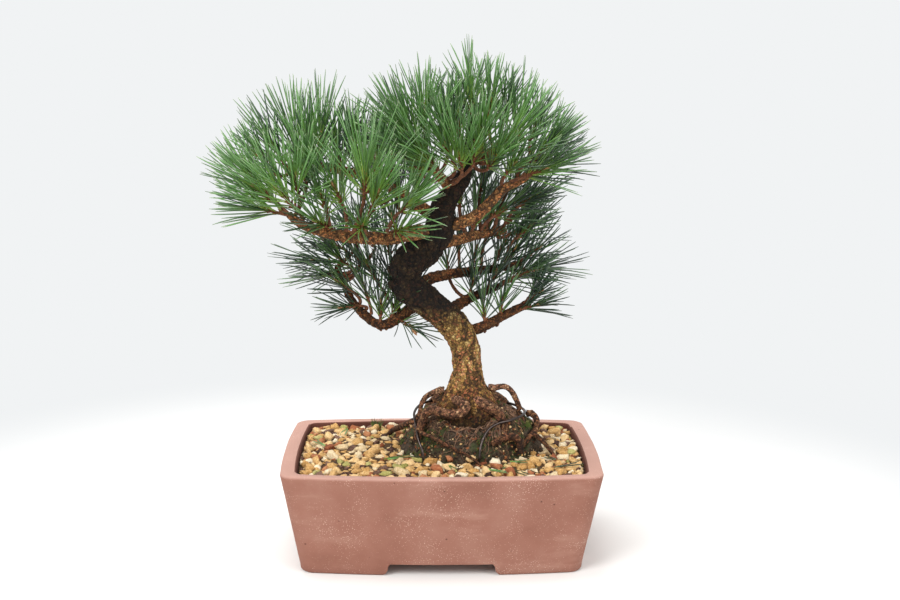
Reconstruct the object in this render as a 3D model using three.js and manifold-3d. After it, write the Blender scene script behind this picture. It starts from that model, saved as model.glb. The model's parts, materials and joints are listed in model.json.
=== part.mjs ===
// A small pine trained as a bonsai, in an unglazed oblong pot.
// Millimetres. X runs along the pot, -Y is the front, +Z is up.
// The pot is drawn about the middle of its foot, and the last lines
// move the whole model so that its origin is under the middle of its box.

import * as THREE from "three";
import { mergeVertices } from "three/addons/utils/BufferGeometryUtils.js";
import Module from "manifold-3d";

const wasm = await Module();
wasm.setup();

// ---------------------------------------------------------------------------
// Driving dimensions
// ---------------------------------------------------------------------------

const fit = 0.3;                 // gap kept between pieces that touch

const pot = {
  length: 246,                   // over the rim, at the middle of the ends
  depth: 166,                    // over the rim, at the middle of the sides
  height: 80,
  taper: 14,                     // how much further in each wall is at the foot
  longBow: 7,                    // how far the long sides bulge
  endBow: 3,                     // how far the ends bulge
  cornerRadius: 9,
  endWall: 12,
  sideWall: 8,
  floor: 9,
  edge: 1.2,                     // worn rounding of the rim
};

const foot = {
  height: 9.5,
  sideGap: 80,                   // between the feet, seen from the front
  endGap: 48,                    // between the feet, seen from an end
  flare: 4.5,                    // how much each gap widens at the ground
};

const drain = { diameter: 20, spacing: 110 };
const tieHole = { diameter: 5 };

const meshPad = {
  size: 31,
  thickness: 1.2,
  cell: 5,
  opening: 3.4,
  cellsAcross: 5,
};

const clip = { wire: 1.4, span: 10, tail: 9 };
const tieWire = { diameter: 2 };

const gravel = {
  depth: 9,
  belowRim: 5.5,
  crown: 2,                      // rise towards the middle
  loose: 2.5,                    // how far the top stones stand above the layer
};

const mound = {                  // the ball of old soil and fine roots
  middle: [22.5, 6.5],
  halfLength: 56,
  halfDepth: 40,
  above: 37,                     // above the top stones
  below: 34,                     // below the top stones
};

const tree = {
  height: 313,                   // top stones to the tip of the highest needle
  drawnHeight: 313,              // the height that the routes below are drawn at
};

const needle = { length: 56, fan: 0.6, sheath: 2.5 };

const gravelTop = pot.height - gravel.belowRim;
const stonesTop = gravelTop + gravel.loose;
const floorTop = foot.height + pot.floor;
const grownBy = tree.height / tree.drawnHeight;

// ---------------------------------------------------------------------------
// Materials
// ---------------------------------------------------------------------------

const surface = (color, roughness, metalness = 0) =>
  new THREE.MeshStandardMaterial({ color, roughness, metalness });

const materials = {
  stoneware: surface("#a9705c", 0.85),
  plasticMesh: surface("#20242a", 0.6),
  clipWire: surface("#b9babd", 0.4, 1),
  tieWire: surface("#1d1714", 0.35, 0.9),
  soil: surface("#4a3527", 0.95),
  gravel: surface("#c9a468", 0.9),
  rootBall: surface("#3a3320", 0.95),
  trunkBark: surface("#9a7340", 0.9),
  rootBark: surface("#8b5333", 0.85),
  branchBark: surface("#7a5230", 0.9),
  needles: surface("#3f7440", 0.6),
};

// ---------------------------------------------------------------------------
// Closed solids
// ---------------------------------------------------------------------------

// A three.js geometry with its shared corners merged, as a manifold solid.
function solidOf(geometry) {
  const bare = geometry.clone();
  bare.deleteAttribute("normal");
  bare.deleteAttribute("uv");
  const merged = mergeVertices(bare, 1e-4);
  return new wasm.Manifold(new wasm.Mesh({
    numProp: 3,
    vertProperties: new Float32Array(merged.attributes.position.array),
    triVerts: new Uint32Array(merged.index.array),
  }));
}

// A manifold solid as a three.js geometry.
function geometryOf(solid) {
  const mesh = solid.getMesh();
  const geometry = new THREE.BufferGeometry();
  geometry.setAttribute("position", new THREE.BufferAttribute(mesh.vertProperties, 3));
  geometry.setIndex(new THREE.BufferAttribute(mesh.triVerts, 1));
  geometry.computeVertexNormals();
  return geometry;
}

const joined = (solids) => solids.reduce((whole, solid) => whole.add(solid));

const cutBy = (solid, tools) => tools.reduce((left, tool) => left.subtract(tool), solid);

// What is left in one piece: the crumbs that a neighbour cuts off are dropped.
function mainBody(solid) {
  const bodies = solid.decompose();
  return bodies.reduce((best, body) => (body.volume() > best.volume() ? body : best));
}

// A skin through rings of points, closed at both ends by a fan to a middle point.
function loft(rings, firstMiddle, lastMiddle) {
  const count = rings[0].length;
  const corners = [...rings.flat(), firstMiddle, lastMiddle];
  const first = corners.length - 2;
  const last = corners.length - 1;
  const faces = [];
  for (let ring = 0; ring < rings.length - 1; ring += 1) {
    for (let i = 0; i < count; i += 1) {
      const a = ring * count + i;
      const b = ring * count + ((i + 1) % count);
      faces.push(a, b, b + count, a, b + count, a + count);
    }
  }
  const top = (rings.length - 1) * count;
  for (let i = 0; i < count; i += 1) {
    const next = (i + 1) % count;
    faces.push(first, next, i);
    faces.push(last, top + i, top + next);
  }
  const geometry = new THREE.BufferGeometry().setFromPoints(corners);
  geometry.setIndex(faces);
  return solidOf(geometry);
}

// ---------------------------------------------------------------------------
// Outlines and prisms
// ---------------------------------------------------------------------------

// A rounded oblong whose sides bow out, at height z, drawn anticlockwise.
function oblong(halfLength, halfDepth, z, radius = pot.cornerRadius) {
  const x0 = halfLength - pot.endBow;
  const y0 = halfDepth - pot.longBow;
  const corner = Math.max(radius, 1);
  const arcSteps = 4;
  const turns = [[1, -1, -0.5, 3], [1, 1, 0, 7], [-1, 1, 0.5, 3], [-1, -1, 1, 7]];
  const points = [];
  turns.forEach(([sx, sy, start, between], index) => {
    for (let step = 0; step <= arcSteps; step += 1) {
      const angle = (start + (0.5 * step) / arcSteps) * Math.PI;
      points.push(new THREE.Vector2(
        sx * (x0 - corner) + corner * Math.cos(angle),
        sy * (y0 - corner) + corner * Math.sin(angle),
      ));
    }
    const [nx, ny, nextStart] = turns[(index + 1) % 4];
    const from = points[points.length - 1].clone();
    const to = new THREE.Vector2(
      nx * (x0 - corner) + corner * Math.cos(nextStart * Math.PI),
      ny * (y0 - corner) + corner * Math.sin(nextStart * Math.PI),
    );
    for (let step = 1; step <= between; step += 1) {
      points.push(from.clone().lerp(to, step / (between + 1)));
    }
  });
  return points.map(({ x, y }) => new THREE.Vector3(
    x * (1 + (pot.endBow / x0) * (1 - (y / y0) ** 2)),
    y * (1 + (pot.longBow / y0) * (1 - (x / x0) ** 2)),
    z,
  ));
}

// How far the outer wall has drawn in at height z.
const drawnIn = (z) => pot.taper * (1 - z / pot.height);

const outerOblong = (z, inset = 0) =>
  oblong(pot.length / 2 - drawnIn(z) - inset, pot.depth / 2 - drawnIn(z) - inset, z);

const innerOblong = (z, inset = 0) => oblong(
  pot.length / 2 - drawnIn(z) - pot.endWall - inset,
  pot.depth / 2 - drawnIn(z) - pot.sideWall - inset,
  z,
  pot.cornerRadius - pot.sideWall / 2,
);

function oblongStack(rings) {
  const bottom = new THREE.Vector3(0, 0, rings[0][0].z);
  const top = new THREE.Vector3(0, 0, rings[rings.length - 1][0].z);
  return loft(rings, bottom, top);
}

// The space inside the pot between two heights, kept inset from its wall.
const cavity = (bottom, top, inset = 0) =>
  oblongStack([innerOblong(bottom, inset), innerOblong(top, inset)]);

// The pot's wall, thickened by the gap that roots and soil keep from it.
const makeWallTool = () => cutBy(
  oblongStack([outerOblong(0, -fit), outerOblong(pot.height + fit, -fit)]),
  [cavity(floorTop + fit, pot.height + 1, fit)],
);

function post(x, y, bottom, top, diameter, sides = 20) {
  const height = top - bottom;
  const geometry = new THREE.CylinderGeometry(diameter / 2, diameter / 2, height, sides);
  geometry.rotateX(Math.PI / 2);
  geometry.translate(x, y, bottom + height / 2);
  return solidOf(geometry);
}

function block(width, depth, height, x, y, z) {
  const geometry = new THREE.BoxGeometry(width, depth, height);
  geometry.translate(x, y, z);
  return solidOf(geometry);
}

// ---------------------------------------------------------------------------
// Limbs: round stretches that follow a route of [x, y, z, radius]
// ---------------------------------------------------------------------------

function limb(route, grow = 0, sides = 8, stepsPerSpan = 2) {
  const centres = route.map(([x, y, z]) => new THREE.Vector3(x, y, z));
  const curve = new THREE.CatmullRomCurve3(centres, false, "centripetal");
  const spans = route.length - 1;
  const steps = spans * stepsPerSpan;
  const across = new THREE.Vector3(0.31, 0.95, 0.05);
  const rings = [];
  let tangent;
  for (let step = 0; step <= steps; step += 1) {
    const along = step / steps;
    tangent = curve.getTangent(along);
    across.addScaledVector(tangent, -across.dot(tangent)).normalize();
    const aside = tangent.clone().cross(across);
    const span = Math.min(Math.floor(along * spans), spans - 1);
    const within = along * spans - span;
    const radius = THREE.MathUtils.lerp(route[span][3], route[span + 1][3], within) + grow;
    const centre = curve.getPoint(along);
    const ring = [];
    for (let side = 0; side < sides; side += 1) {
      const angle = (2 * Math.PI * side) / sides;
      ring.push(centre.clone()
        .addScaledVector(across, radius * Math.cos(angle))
        .addScaledVector(aside, radius * Math.sin(angle)));
    }
    rings.push(ring);
  }
  const rounding = 0.4;
  const startTangent = curve.getTangent(0);
  const firstRadius = route[0][3] * rounding + grow;
  const lastRadius = route[spans][3] * rounding + grow;
  const firstMiddle = centres[0].clone().addScaledVector(startTangent, -firstRadius);
  const lastMiddle = centres[spans].clone().addScaledVector(tangent, lastRadius);
  return loft(rings, firstMiddle, lastMiddle);
}

// Routes of the tree are drawn above the top stones, for a tree of drawnHeight.
const planted = (route) => route.map(([x, y, z, radius]) => [
  x * grownBy,
  y * grownBy,
  z * grownBy + stonesTop,
  radius * grownBy,
]);

// ---------------------------------------------------------------------------
// Pot
// ---------------------------------------------------------------------------

// The gap between two feet, run right through under the pot along +Y.
function footGap(width, run) {
  const half = width / 2;
  const shape = new THREE.Shape();
  shape.moveTo(-half - foot.flare, -1);
  shape.lineTo(-half - foot.flare, 0);
  shape.bezierCurveTo(
    -half - foot.flare * 0.2, foot.height * 0.25,
    -half - foot.flare * 0.6, foot.height * 0.9,
    -half + foot.flare * 0.3, foot.height,
  );
  shape.lineTo(half - foot.flare * 0.3, foot.height);
  shape.bezierCurveTo(
    half + foot.flare * 0.6, foot.height * 0.9,
    half + foot.flare * 0.2, foot.height * 0.25,
    half + foot.flare, 0,
  );
  shape.lineTo(half + foot.flare, -1);
  shape.closePath();
  const geometry = new THREE.ExtrudeGeometry(shape, {
    depth: run,
    bevelEnabled: false,
    curveSegments: 5,
  });
  geometry.rotateX(Math.PI / 2);
  geometry.translate(0, run / 2, 0);
  return geometry;
}

const drainPlaces = [-drain.spacing / 2, drain.spacing / 2];
const tiePlaces = [[-14, -31], [29, -35]];

function makePot() {
  const top = pot.height;
  const outside = oblongStack([
    outerOblong(0, pot.edge),
    outerOblong(pot.edge),
    outerOblong(top * 0.5),
    outerOblong(top - pot.edge),
    outerOblong(top, pot.edge),
  ]);
  const frontToBack = footGap(foot.sideGap, pot.depth + 20);
  const endToEnd = footGap(foot.endGap, pot.length + 20).rotateZ(Math.PI / 2);
  const below = foot.height - 1;
  const above = floorTop + 1;
  return cutBy(outside, [
    cavity(floorTop, top + 1),
    solidOf(frontToBack),
    solidOf(endToEnd),
    ...drainPlaces.map((x) => post(x, 0, below, above, drain.diameter)),
    ...tiePlaces.map(([x, y]) => post(x, y, below, above, tieHole.diameter, 12)),
  ]);
}

// ---------------------------------------------------------------------------
// Drainage mesh and the clips that hold it
// ---------------------------------------------------------------------------

// Drawn about the middle of a drain hole, with z = 0 on the pot's floor.
function makeMeshPad() {
  const middle = fit + meshPad.thickness / 2;
  const plate = block(meshPad.size, meshPad.size, meshPad.thickness, 0, 0, middle);
  const reach = (meshPad.cellsAcross - 1) / 2;
  const openings = [];
  for (let column = -reach; column <= reach; column += 1) {
    for (let row = -reach; row <= reach; row += 1) {
      const x = column * meshPad.cell;
      const y = row * meshPad.cell;
      openings.push(block(meshPad.opening, meshPad.opening, 4, x, y, middle));
    }
  }
  return cutBy(plate, openings);
}

// A staple over the mesh pad, its legs bent outward under the floor.
function makeClip(grow = 0) {
  const half = clip.span / 2;
  const radius = clip.wire / 2;
  const over = fit * 2 + meshPad.thickness + radius;
  const under = -pot.floor - fit - radius;
  const bend = 1.5;
  return limb([
    [-half - clip.tail, 0, under, radius],
    [-half - bend, 0, under, radius],
    [-half, 0, under + bend, radius],
    [-half, 0, over - bend, radius],
    [-half + bend, 0, over, radius],
    [half - bend, 0, over, radius],
    [half, 0, over - bend, radius],
    [half, 0, under + bend, radius],
    [half + bend, 0, under, radius],
    [half + clip.tail, 0, under, radius],
  ], grow, 6, 1);
}

// ---------------------------------------------------------------------------
// Tie wire: up from the floor at two holes, over the root ball and round the back
// ---------------------------------------------------------------------------

function makeTieWire(grow = 0) {
  const radius = tieWire.diameter / 2;
  const [[leftX, leftY], [rightX, rightY]] = tiePlaces;
  const under = foot.height - fit - radius;
  const bend = 1.5;
  const overLeft = planted([
    [20, 38, 31, 0],
    [0, 32, 33, 0],
    [-15, 18, 33, 0],
    [-21, 0, 31, 0],
    [-20, -13, 26, 0],
    [-18, -24, 17, 0],
  ]);
  const overRight = planted([
    [31, -30.5, 16, 0],
    [36, -25, 24, 0],
    [44, -21, 28, 0],
    [54, -16, 29, 0],
    [64, -4, 30, 0],
    [66, 12, 30, 0],
    [54, 29, 31, 0],
    [34, 37, 31.5, 0],
  ]);
  const down = [
    [leftX, leftY, stonesTop + 3, 0],
    [leftX, leftY, gravelTop / 2, 0],
    [leftX, leftY, under + bend, 0],
    [leftX + bend, leftY, under, 0],
    [rightX - bend, rightY, under, 0],
    [rightX, rightY, under + bend, 0],
    [rightX, rightY, gravelTop / 2, 0],
    [rightX, rightY, stonesTop + 3, 0],
  ];
  const route = [...overLeft, ...down, ...overRight];
  return limb(route.map(([x, y, z]) => [x, y, z, radius]), grow, 6, 1);
}

// ---------------------------------------------------------------------------
// Soil, gravel and root ball
// ---------------------------------------------------------------------------

function makeMound(grow = 0) {
  const [cx, cy] = mound.middle;
  const levels = [              // share of the height, share of the half sizes
    [0, 0.78],
    [0.25, 0.95],
    [0.5, 1],
    [0.62, 0.95],
    [0.74, 0.85],
    [0.86, 0.7],
    [0.95, 0.5],
    [1, 0.3],
  ];
  const sides = 28;
  const bottom = stonesTop - mound.below - grow;
  const height = mound.below + mound.above + 2 * grow;
  const rings = levels.map(([up, out]) => {
    const ring = [];
    for (let side = 0; side < sides; side += 1) {
      const angle = (2 * Math.PI * side) / sides;
      const lumps = 1 + 0.035 * Math.sin(3 * angle + 1) + 0.02 * Math.cos(7 * angle);
      ring.push(new THREE.Vector3(
        cx + (mound.halfLength * out * lumps + grow) * Math.cos(angle),
        cy + (mound.halfDepth * out * lumps + grow) * Math.sin(angle),
        bottom + up * height,
      ));
    }
    return ring;
  });
  const firstMiddle = new THREE.Vector3(cx, cy, bottom);
  const lastMiddle = new THREE.Vector3(cx, cy, bottom + height);
  return loft(rings, firstMiddle, lastMiddle);
}

const soilTop = gravelTop - gravel.depth;

function makeGravel() {
  const bank = mound.middle[0] * 0.3;
  const rings = [
    innerOblong(soilTop + fit, fit),
    innerOblong(gravelTop, fit),
    oblong(pot.length / 3.2, pot.depth / 3, gravelTop + gravel.crown),
  ];
  const bottom = new THREE.Vector3(0, 0, soilTop + fit);
  const top = new THREE.Vector3(bank, 0, gravelTop + gravel.crown);
  return loft(rings, bottom, top);
}

// ---------------------------------------------------------------------------
// Trunk, roots and branches
// ---------------------------------------------------------------------------

const trunkToBend = [
  [20.4, 1, 12, 23],
  [20.4, 1, 26, 25],
  [20.4, 0, 36, 25],
  [20.4, 0, 41, 23.5],
  [20.4, 0, 45, 21],
  [20.3, 0, 50, 16.5],
  [20.3, 0, 56, 13.2],
  [20.6, 0, 65, 11.4],
  [19.2, 0, 81, 11.2],
  [14.5, 0, 95, 11.6],
  [4.3, 0, 107, 11.6],
  [-10.5, 0, 119, 11.8],
  [-24.4, 0, 129, 12.4],
  [-31.3, -2, 140, 12.8],
];

const trunkFromBend = [
  [-31.3, -2, 140, 12.8],
  [-25.2, -4, 151, 13],
  [-13.7, -6, 161, 12.8],
  [-4.6, -8, 172, 12],
  [-0.9, -8, 184, 10.6],
  [1.3, -8, 195, 9],
  [7.3, -8, 205, 7.6],
  [14.8, -8, 214.5, 6],
  [18.5, -8, 226, 4.6],
  [20, -3, 240, 3.6],
  [22, 4, 262, 2.4],
];

const makeTrunk = (grow = 0) => joined([
  limb(planted(trunkToBend), grow, 12, 1),
  limb(planted(trunkFromBend), grow, 12, 1),
]);

const roots = {
  root_left_arch: [
    [4, 0, 48, 8], [-6, 0, 47, 6.5], [-13, -2, 43, 5.5], [-16, -4, 37, 4.8],
    [-17, -7, 29, 4.5], [-19, -10, 19, 4.5], [-21, -12, 8, 3.5],
  ],
  root_right_arch: [
    [33, 0, 49, 6.5], [43, 0, 51, 5], [49, 1, 52, 4.5], [55, 3, 48, 4.2],
    [59, 4, 41, 4.2], [62, 5, 33, 4.5], [64, 4, 22, 4.5], [64, 3, 10, 3.5],
  ],
  root_front_curl: [
    [10, -12, 44, 5], [15, -21, 45, 4.4], [19, -26, 43, 4.2], [15, -29, 38.5, 4.2],
    [7, -28, 37, 4.2], [-1, -24, 38, 4.2], [-8, -19, 38, 4.2], [-13, -17, 33, 4],
    [-16, -18, 25, 3.6], [-19, -19, 14, 3],
  ],
  root_front_ridge: [
    [22, -14, 44, 6], [33, -18, 42, 5], [42, -16, 36, 4.6], [47, -15, 28, 4.2],
    [50, -16, 16, 3.4],
  ],
  root_front_long: [
    [-17, -25, 22, 2.4], [-9, -29, 20, 2.2], [0, -32, 16, 2.2], [11, -35, 11, 2],
    [22, -37.5, 6, 1.8], [31, -40, -1, 1.5],
  ],
  root_right_knee: [
    [67, 9, 27, 4], [72, 9, 28, 4], [76, 6, 23, 4], [75, 0, 17, 3.8],
    [69, -8, 13, 3.4], [62, -15, 6, 3],
  ],
  root_right_knob: [
    [38, -30, 14, 2.8], [47, -28, 18, 3.4], [55, -26, 19, 3.8], [60, -25, 15, 3.6],
    [61, -27, 5, 2.8],
  ],
  root_right_thin: [
    [74, -8, 15, 2], [80, -10, 10, 1.9], [86, -13, 3, 1.7], [91, -17, -4, 1.4],
  ],
  root_left_low: [
    [-17, 4, 24, 3.4], [-25, 14, 18, 3], [-33, 27, 11, 2.6], [-40, 39, 4, 2.2],
    [-44, 46, -3, 1.8],
  ],
  root_back_left: [
    [10, 14, 40, 7], [0, 25, 36, 5.4], [-9, 35, 25, 4.6], [-15, 42, 8, 3.6],
  ],
  root_back_right: [
    [34, 14, 40, 7], [44, 25, 36, 5.4], [54, 34, 26, 4.6], [60, 42, 9, 3.6],
  ],
};

const branches = {
  branch_left: [
    [-8, -8, 172, 7], [-17, -16, 176, 5.6], [-35, -25, 173, 5], [-61, -35, 174, 4.5],
    [-83, -42, 178, 4], [-104, -48, 186, 3.2], [-112, -49, 193, 2.4],
  ],
  branch_left_back: [
    [-3, -4, 184, 5.4], [-20, 6, 195, 4.4], [-45, 8, 210, 4], [-70, 5, 219, 3.6],
    [-95, 0, 224, 3], [-113, -4, 226, 2.2],
  ],
  branch_low_left: [
    [-12, 4, 118, 6], [-21, 12, 114, 4.6], [-36, 15, 102, 4], [-48, 18, 97, 3.8],
    [-63, 24, 106, 3.4], [-72.5, 30, 117, 3], [-83, 35, 142, 2.2],
  ],
  branch_low_right: [
    [14, 2, 98, 5.4], [25, 5, 96, 4.4], [34, 8, 99, 4], [46, 14, 104, 3.6],
    [58, 18, 109.5, 3.2], [69, 22, 115, 2.8], [74, 25, 124, 2],
  ],
  branch_middle_right: [
    [4, 4, 110, 5], [19, 15, 118, 3.8], [35, 25, 123, 3.2], [48, 32, 127, 2.2],
  ],
  branch_back_right: [
    [-20, 4, 130, 5.6], [-7.4, 14, 136, 4.4], [22.7, 26, 139, 3.6], [50, 35, 141, 3],
    [64, 38, 144, 2.2],
  ],
  branch_high_right: [
    [-8, -4, 164, 5.4], [8, 6, 166, 4.2], [30, 22, 169, 3.4], [51, 34, 170, 2.4],
  ],
  branch_crook_right: [
    [1, -8, 180, 5.6], [14, -8, 182, 4.6], [27, -6, 188, 4.2], [37, -6, 198, 3.8],
    [46, -6, 208, 3.4], [59, -5, 214, 3], [70, -2, 223, 2.6], [78, 0, 232, 2],
  ],
  branch_crown_left: [
    [8, -8, 206, 4.6], [0, -13, 215, 3.8], [-9, -15, 225, 3.2], [-22, -10, 234, 2.2],
  ],
  branch_crown_right: [
    [18, -7, 226, 3.8], [34, -2, 234, 3.2], [50, 6, 243, 2.6], [62, 9, 246, 2],
  ],
};

// ---------------------------------------------------------------------------
// Needles: each pad is a cluster of tufts, and a tuft is drawn as
// [x, y, z of its shoot, direction x, y, z, share of the needle length]
// ---------------------------------------------------------------------------

const pads = {
  needles_left_tip: [
    [-106, -52, 197, -0.6, -0.4, 0.7, 1.2], [-122, -45, 201, -0.75, -0.2, 0.6, 1.05],
    [-131, -35, 209, -0.7, 0, 0.7, 0.85], [-104, -50, 205, -0.1, -0.5, 0.85, 0.95],
  ],
  needles_left_top: [
    [-100, -36, 212, 0.05, -0.4, 0.9, 0.85], [-94, -2, 225, 0.1, 0.1, 1, 1.1],
    [-108, 3, 224, -0.15, 0.15, 1, 1.05], [-118, -8, 225, -0.55, 0, 0.85, 0.9],
    [-124, -20, 219, -0.6, -0.1, 0.8, 0.85],
  ],
  needles_left_front: [
    [-57, -56, 205, 0.05, -0.45, 0.9, 1.2], [-53, -50, 195, 0.3, -0.5, 0.75, 1],
    [-72, -50, 199, -0.35, -0.4, 0.85, 1], [-84, -48, 193, -0.25, -0.35, 0.9, 0.85],
    [-33, -42, 193, 0.6, -0.45, 0.6, 0.9], [-84, -44, 183, -0.4, -0.7, 0.3, 0.8],
    [-60, -38, 181, 0.1, -0.9, 0.3, 0.75], [-36, -29, 178, 0.5, -0.7, 0.2, 0.7],
  ],
  needles_left_back: [
    [-66, 5, 224, -0.1, 0.1, 1, 0.9], [-51, 12, 228, 0.05, 0.3, 1, 0.75],
    [-38, 2, 225, 0.05, 0, 1, 0.8], [-77, -5, 218, -0.1, 0, 1, 0.95],
    [-60, 14, 220, -0.1, 0.7, 0.7, 0.9],
  ],
  needles_crown_left: [
    [-9, -18, 230, -0.6, -0.2, 0.75, 1.35], [-17, -15, 234, -0.5, -0.1, 0.85, 1.2],
    [-13, -10, 248, -0.05, 0, 1, 1.15], [-2, -25, 222, -0.6, -0.5, 0.55, 1.05],
    [-26, 0, 236, -0.4, 0.1, 0.9, 0.85],
  ],
  needles_crown_top: [
    [4, 12, 249, -0.05, 0.3, 1, 0.8], [22, 5, 262, -0.05, 0, 1, 0.9],
    [35, 8, 255, 0.1, 0.05, 1, 0.85], [46, 12, 255, 0.25, 0.2, 1, 0.8],
    [24, 18, 246, 0.1, 0.7, 0.7, 0.9],
  ],
  needles_crown_front: [
    [14, -30, 222, -0.1, -0.6, 0.8, 1], [9, -26, 227, -0.4, -0.45, 0.8, 1],
    [22, -26, 227, 0.2, -0.5, 0.85, 0.95], [4, -15, 238, -0.2, -0.3, 0.95, 0.9],
    [28, -18, 238, 0.05, -0.45, 0.9, 0.9],
  ],
  needles_crown_right: [
    [39, -15, 232, 0.6, -0.3, 0.75, 1.05], [56, 8, 240, 0.15, 0.1, 1, 1],
    [60, -12, 217, 0.85, -0.35, 0.35, 1], [62, -5, 226, 0.75, -0.1, 0.6, 0.95],
    [75, 2, 233, 0.65, 0.05, 0.75, 0.75], [67, 12, 242, 0.4, 0.25, 0.9, 0.8],
    [47, -15, 219, 0.3, -0.7, 0.5, 0.75],
  ],
  needles_high_right: [
    [39, 18, 183, 0.8, 0, 0.55, 0.95], [50, 30, 176, 0.75, 0.2, 0.5, 0.85],
    [24, 19, 173, 0.3, 0.1, 0.8, 0.8], [52, 35, 166, 0.8, 0.3, 0.3, 0.75],
    [36, 30, 176, 0.2, 0.7, 0.7, 0.8],
  ],
  needles_back_right: [
    [43, 36, 145, 0.4, 0.4, 0.75, 0.8], [65, 40, 146, 0.75, 0.1, 0.55, 0.8],
    [63, 38, 138, 0.95, 0, 0.1, 0.9], [24, 26, 142, 0.25, 0.15, 0.95, 0.7],
  ],
  needles_middle_right: [
    [36, 25, 124, 0.4, -0.1, 0.8, 0.75], [50, 32, 128, 0.8, 0.1, 0.4, 0.75],
    [22, 17, 121, 0.2, -0.1, 0.9, 0.65],
  ],
  needles_low_right: [
    [34, 8, 102, -0.1, -0.1, 0.95, 0.65], [46, 14, 105, 0.15, 0, 0.95, 0.65],
    [72, 25, 121, 0.45, 0, 0.85, 0.5], [61, 18, 110, 0.8, -0.1, 0.2, 0.65],
    [66, 21, 115, 0.7, 0.1, 0.5, 0.55],
  ],
  needles_low_left: [
    [-48, 16, 101, 0.05, -0.3, 0.95, 0.65], [-40, 15, 102, 0.35, -0.2, 0.85, 0.6],
    [-69, 29, 121, -0.75, 0, 0.5, 0.75], [-64, 25, 111, -0.8, -0.1, -0.05, 0.65],
    [-34, 12, 103, 0.6, -0.2, -0.35, 0.65], [-57, 22, 115, -0.3, 0, 0.9, 0.7],
  ],
  needles_low_left_tip: [
    [-82, 35, 145, -0.9, 0, 0.05, 0.9], [-76, 32, 155, -0.8, 0.1, 0.35, 0.8],
    [-64, 28, 147, -0.5, 0, 0.8, 0.75], [-77, 35, 136, -0.8, 0.2, -0.15, 0.8],
  ],
};

// One tuft: a shuttlecock that opens from its shoot to the tips of its needles.
function tuft([x, y, z, dx, dy, dz, share], grow = 0) {
  const length = needle.length * share;
  const wide = needle.fan * length;
  const profile = [
    [0, -grow],
    [needle.sheath + grow, 0],
    [wide * 0.62 + grow, length * 0.22],
    [wide + grow, length * 0.62],
    [wide * 0.62 + grow, length * 0.92],
    [0, length + grow],
  ].map(([radius, up]) => new THREE.Vector2(radius, up));
  const geometry = new THREE.LatheGeometry(profile, 7);
  const direction = new THREE.Vector3(dx, dy, dz).normalize();
  const upright = new THREE.Vector3(0, 1, 0);
  const turn = new THREE.Quaternion().setFromUnitVectors(upright, direction);
  geometry.applyQuaternion(turn);
  geometry.translate(x * grownBy, y * grownBy, z * grownBy + stonesTop);
  return solidOf(geometry);
}

const makePad = (tufts, grow = 0) => joined(tufts.map((spec) => tuft(spec, grow)));

// ---------------------------------------------------------------------------
// Assembly
// ---------------------------------------------------------------------------

const bonsai = new THREE.Group();
const potAndSoil = new THREE.Group();
const livingTree = new THREE.Group();
bonsai.add(potAndSoil, livingTree);

function addPiece(parent, name, solid, material) {
  const mesh = new THREE.Mesh(geometryOf(solid), material);
  mesh.name = name;
  parent.add(mesh);
  return mesh;
}

addPiece(potAndSoil, "pot", makePot(), materials.stoneware);

const meshTools = [];
["left", "right"].forEach((side, index) => {
  const x = drainPlaces[index];
  const pad = addPiece(potAndSoil, `drain_mesh_${side}`, makeMeshPad(), materials.plasticMesh);
  const staple = addPiece(potAndSoil, `mesh_clip_${side}`, makeClip(), materials.clipWire);
  pad.position.set(x, 0, floorTop);
  staple.position.set(x, 0, floorTop);
  const padHeight = meshPad.thickness + 2 * fit;
  const around = meshPad.size + 2 * fit;
  meshTools.push(block(around, around, padHeight, x, 0, floorTop + padHeight / 2));
  meshTools.push(makeClip(fit).translate([x, 0, floorTop]));
});

const wireTool = makeTieWire(fit);
addPiece(potAndSoil, "tie_wire", makeTieWire(), materials.tieWire);

const trunkTool = makeTrunk(fit);
addPiece(livingTree, "trunk", makeTrunk(), materials.trunkBark);

// Each root or branch gives way to what is named and to the ones before it.
function addLimbs(limbs, material, obstacles) {
  const tools = [];
  Object.entries(limbs).forEach(([name, route]) => {
    const solid = cutBy(limb(planted(route)), [...obstacles, ...tools]);
    addPiece(livingTree, name, mainBody(solid), material);
    tools.push(limb(planted(route), fit));
  });
  return tools;
}

const wallTool = makeWallTool();
const rootTools = addLimbs(roots, materials.rootBark, [trunkTool, wireTool, wallTool]);
const branchTools = addLimbs(branches, materials.branchBark, [trunkTool]);

const ballCuts = [trunkTool, wireTool, wallTool, ...rootTools];
const rootBall = mainBody(cutBy(makeMound(), ballCuts));
addPiece(livingTree, "root_ball", rootBall, materials.rootBall);

const groundCuts = [makeMound(fit), wireTool, ...rootTools];
const soil = mainBody(cutBy(cavity(floorTop + fit, soilTop, fit), [...groundCuts, ...meshTools]));
const stones = mainBody(cutBy(makeGravel(), groundCuts));
addPiece(potAndSoil, "soil_bed", soil, materials.soil);
addPiece(potAndSoil, "gravel_layer", stones, materials.gravel);

const padTools = [trunkTool, ...branchTools];
Object.entries(pads).forEach(([name, tufts]) => {
  const solid = mainBody(cutBy(makePad(tufts), padTools));
  addPiece(livingTree, name, solid, materials.needles);
  padTools.push(makePad(tufts, fit));
});

const box = new THREE.Box3().setFromObject(bonsai, true);
const middle = box.getCenter(new THREE.Vector3());
bonsai.position.set(-middle.x, -middle.y, -box.min.z);

export default bonsai;
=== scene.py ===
# %% [markdown]
# A small pine grown as a bonsai, in an unglazed oblong pot. Everything is in metres, so sizes
# that a maker would give in millimetres are multiplied by MM.

# %% Load the CAD model
import json
import math
import random

import bmesh
import bpy
import numpy as np
from mathutils import Matrix, Vector, noise
from mathutils.bvhtree import BVHTree

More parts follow.
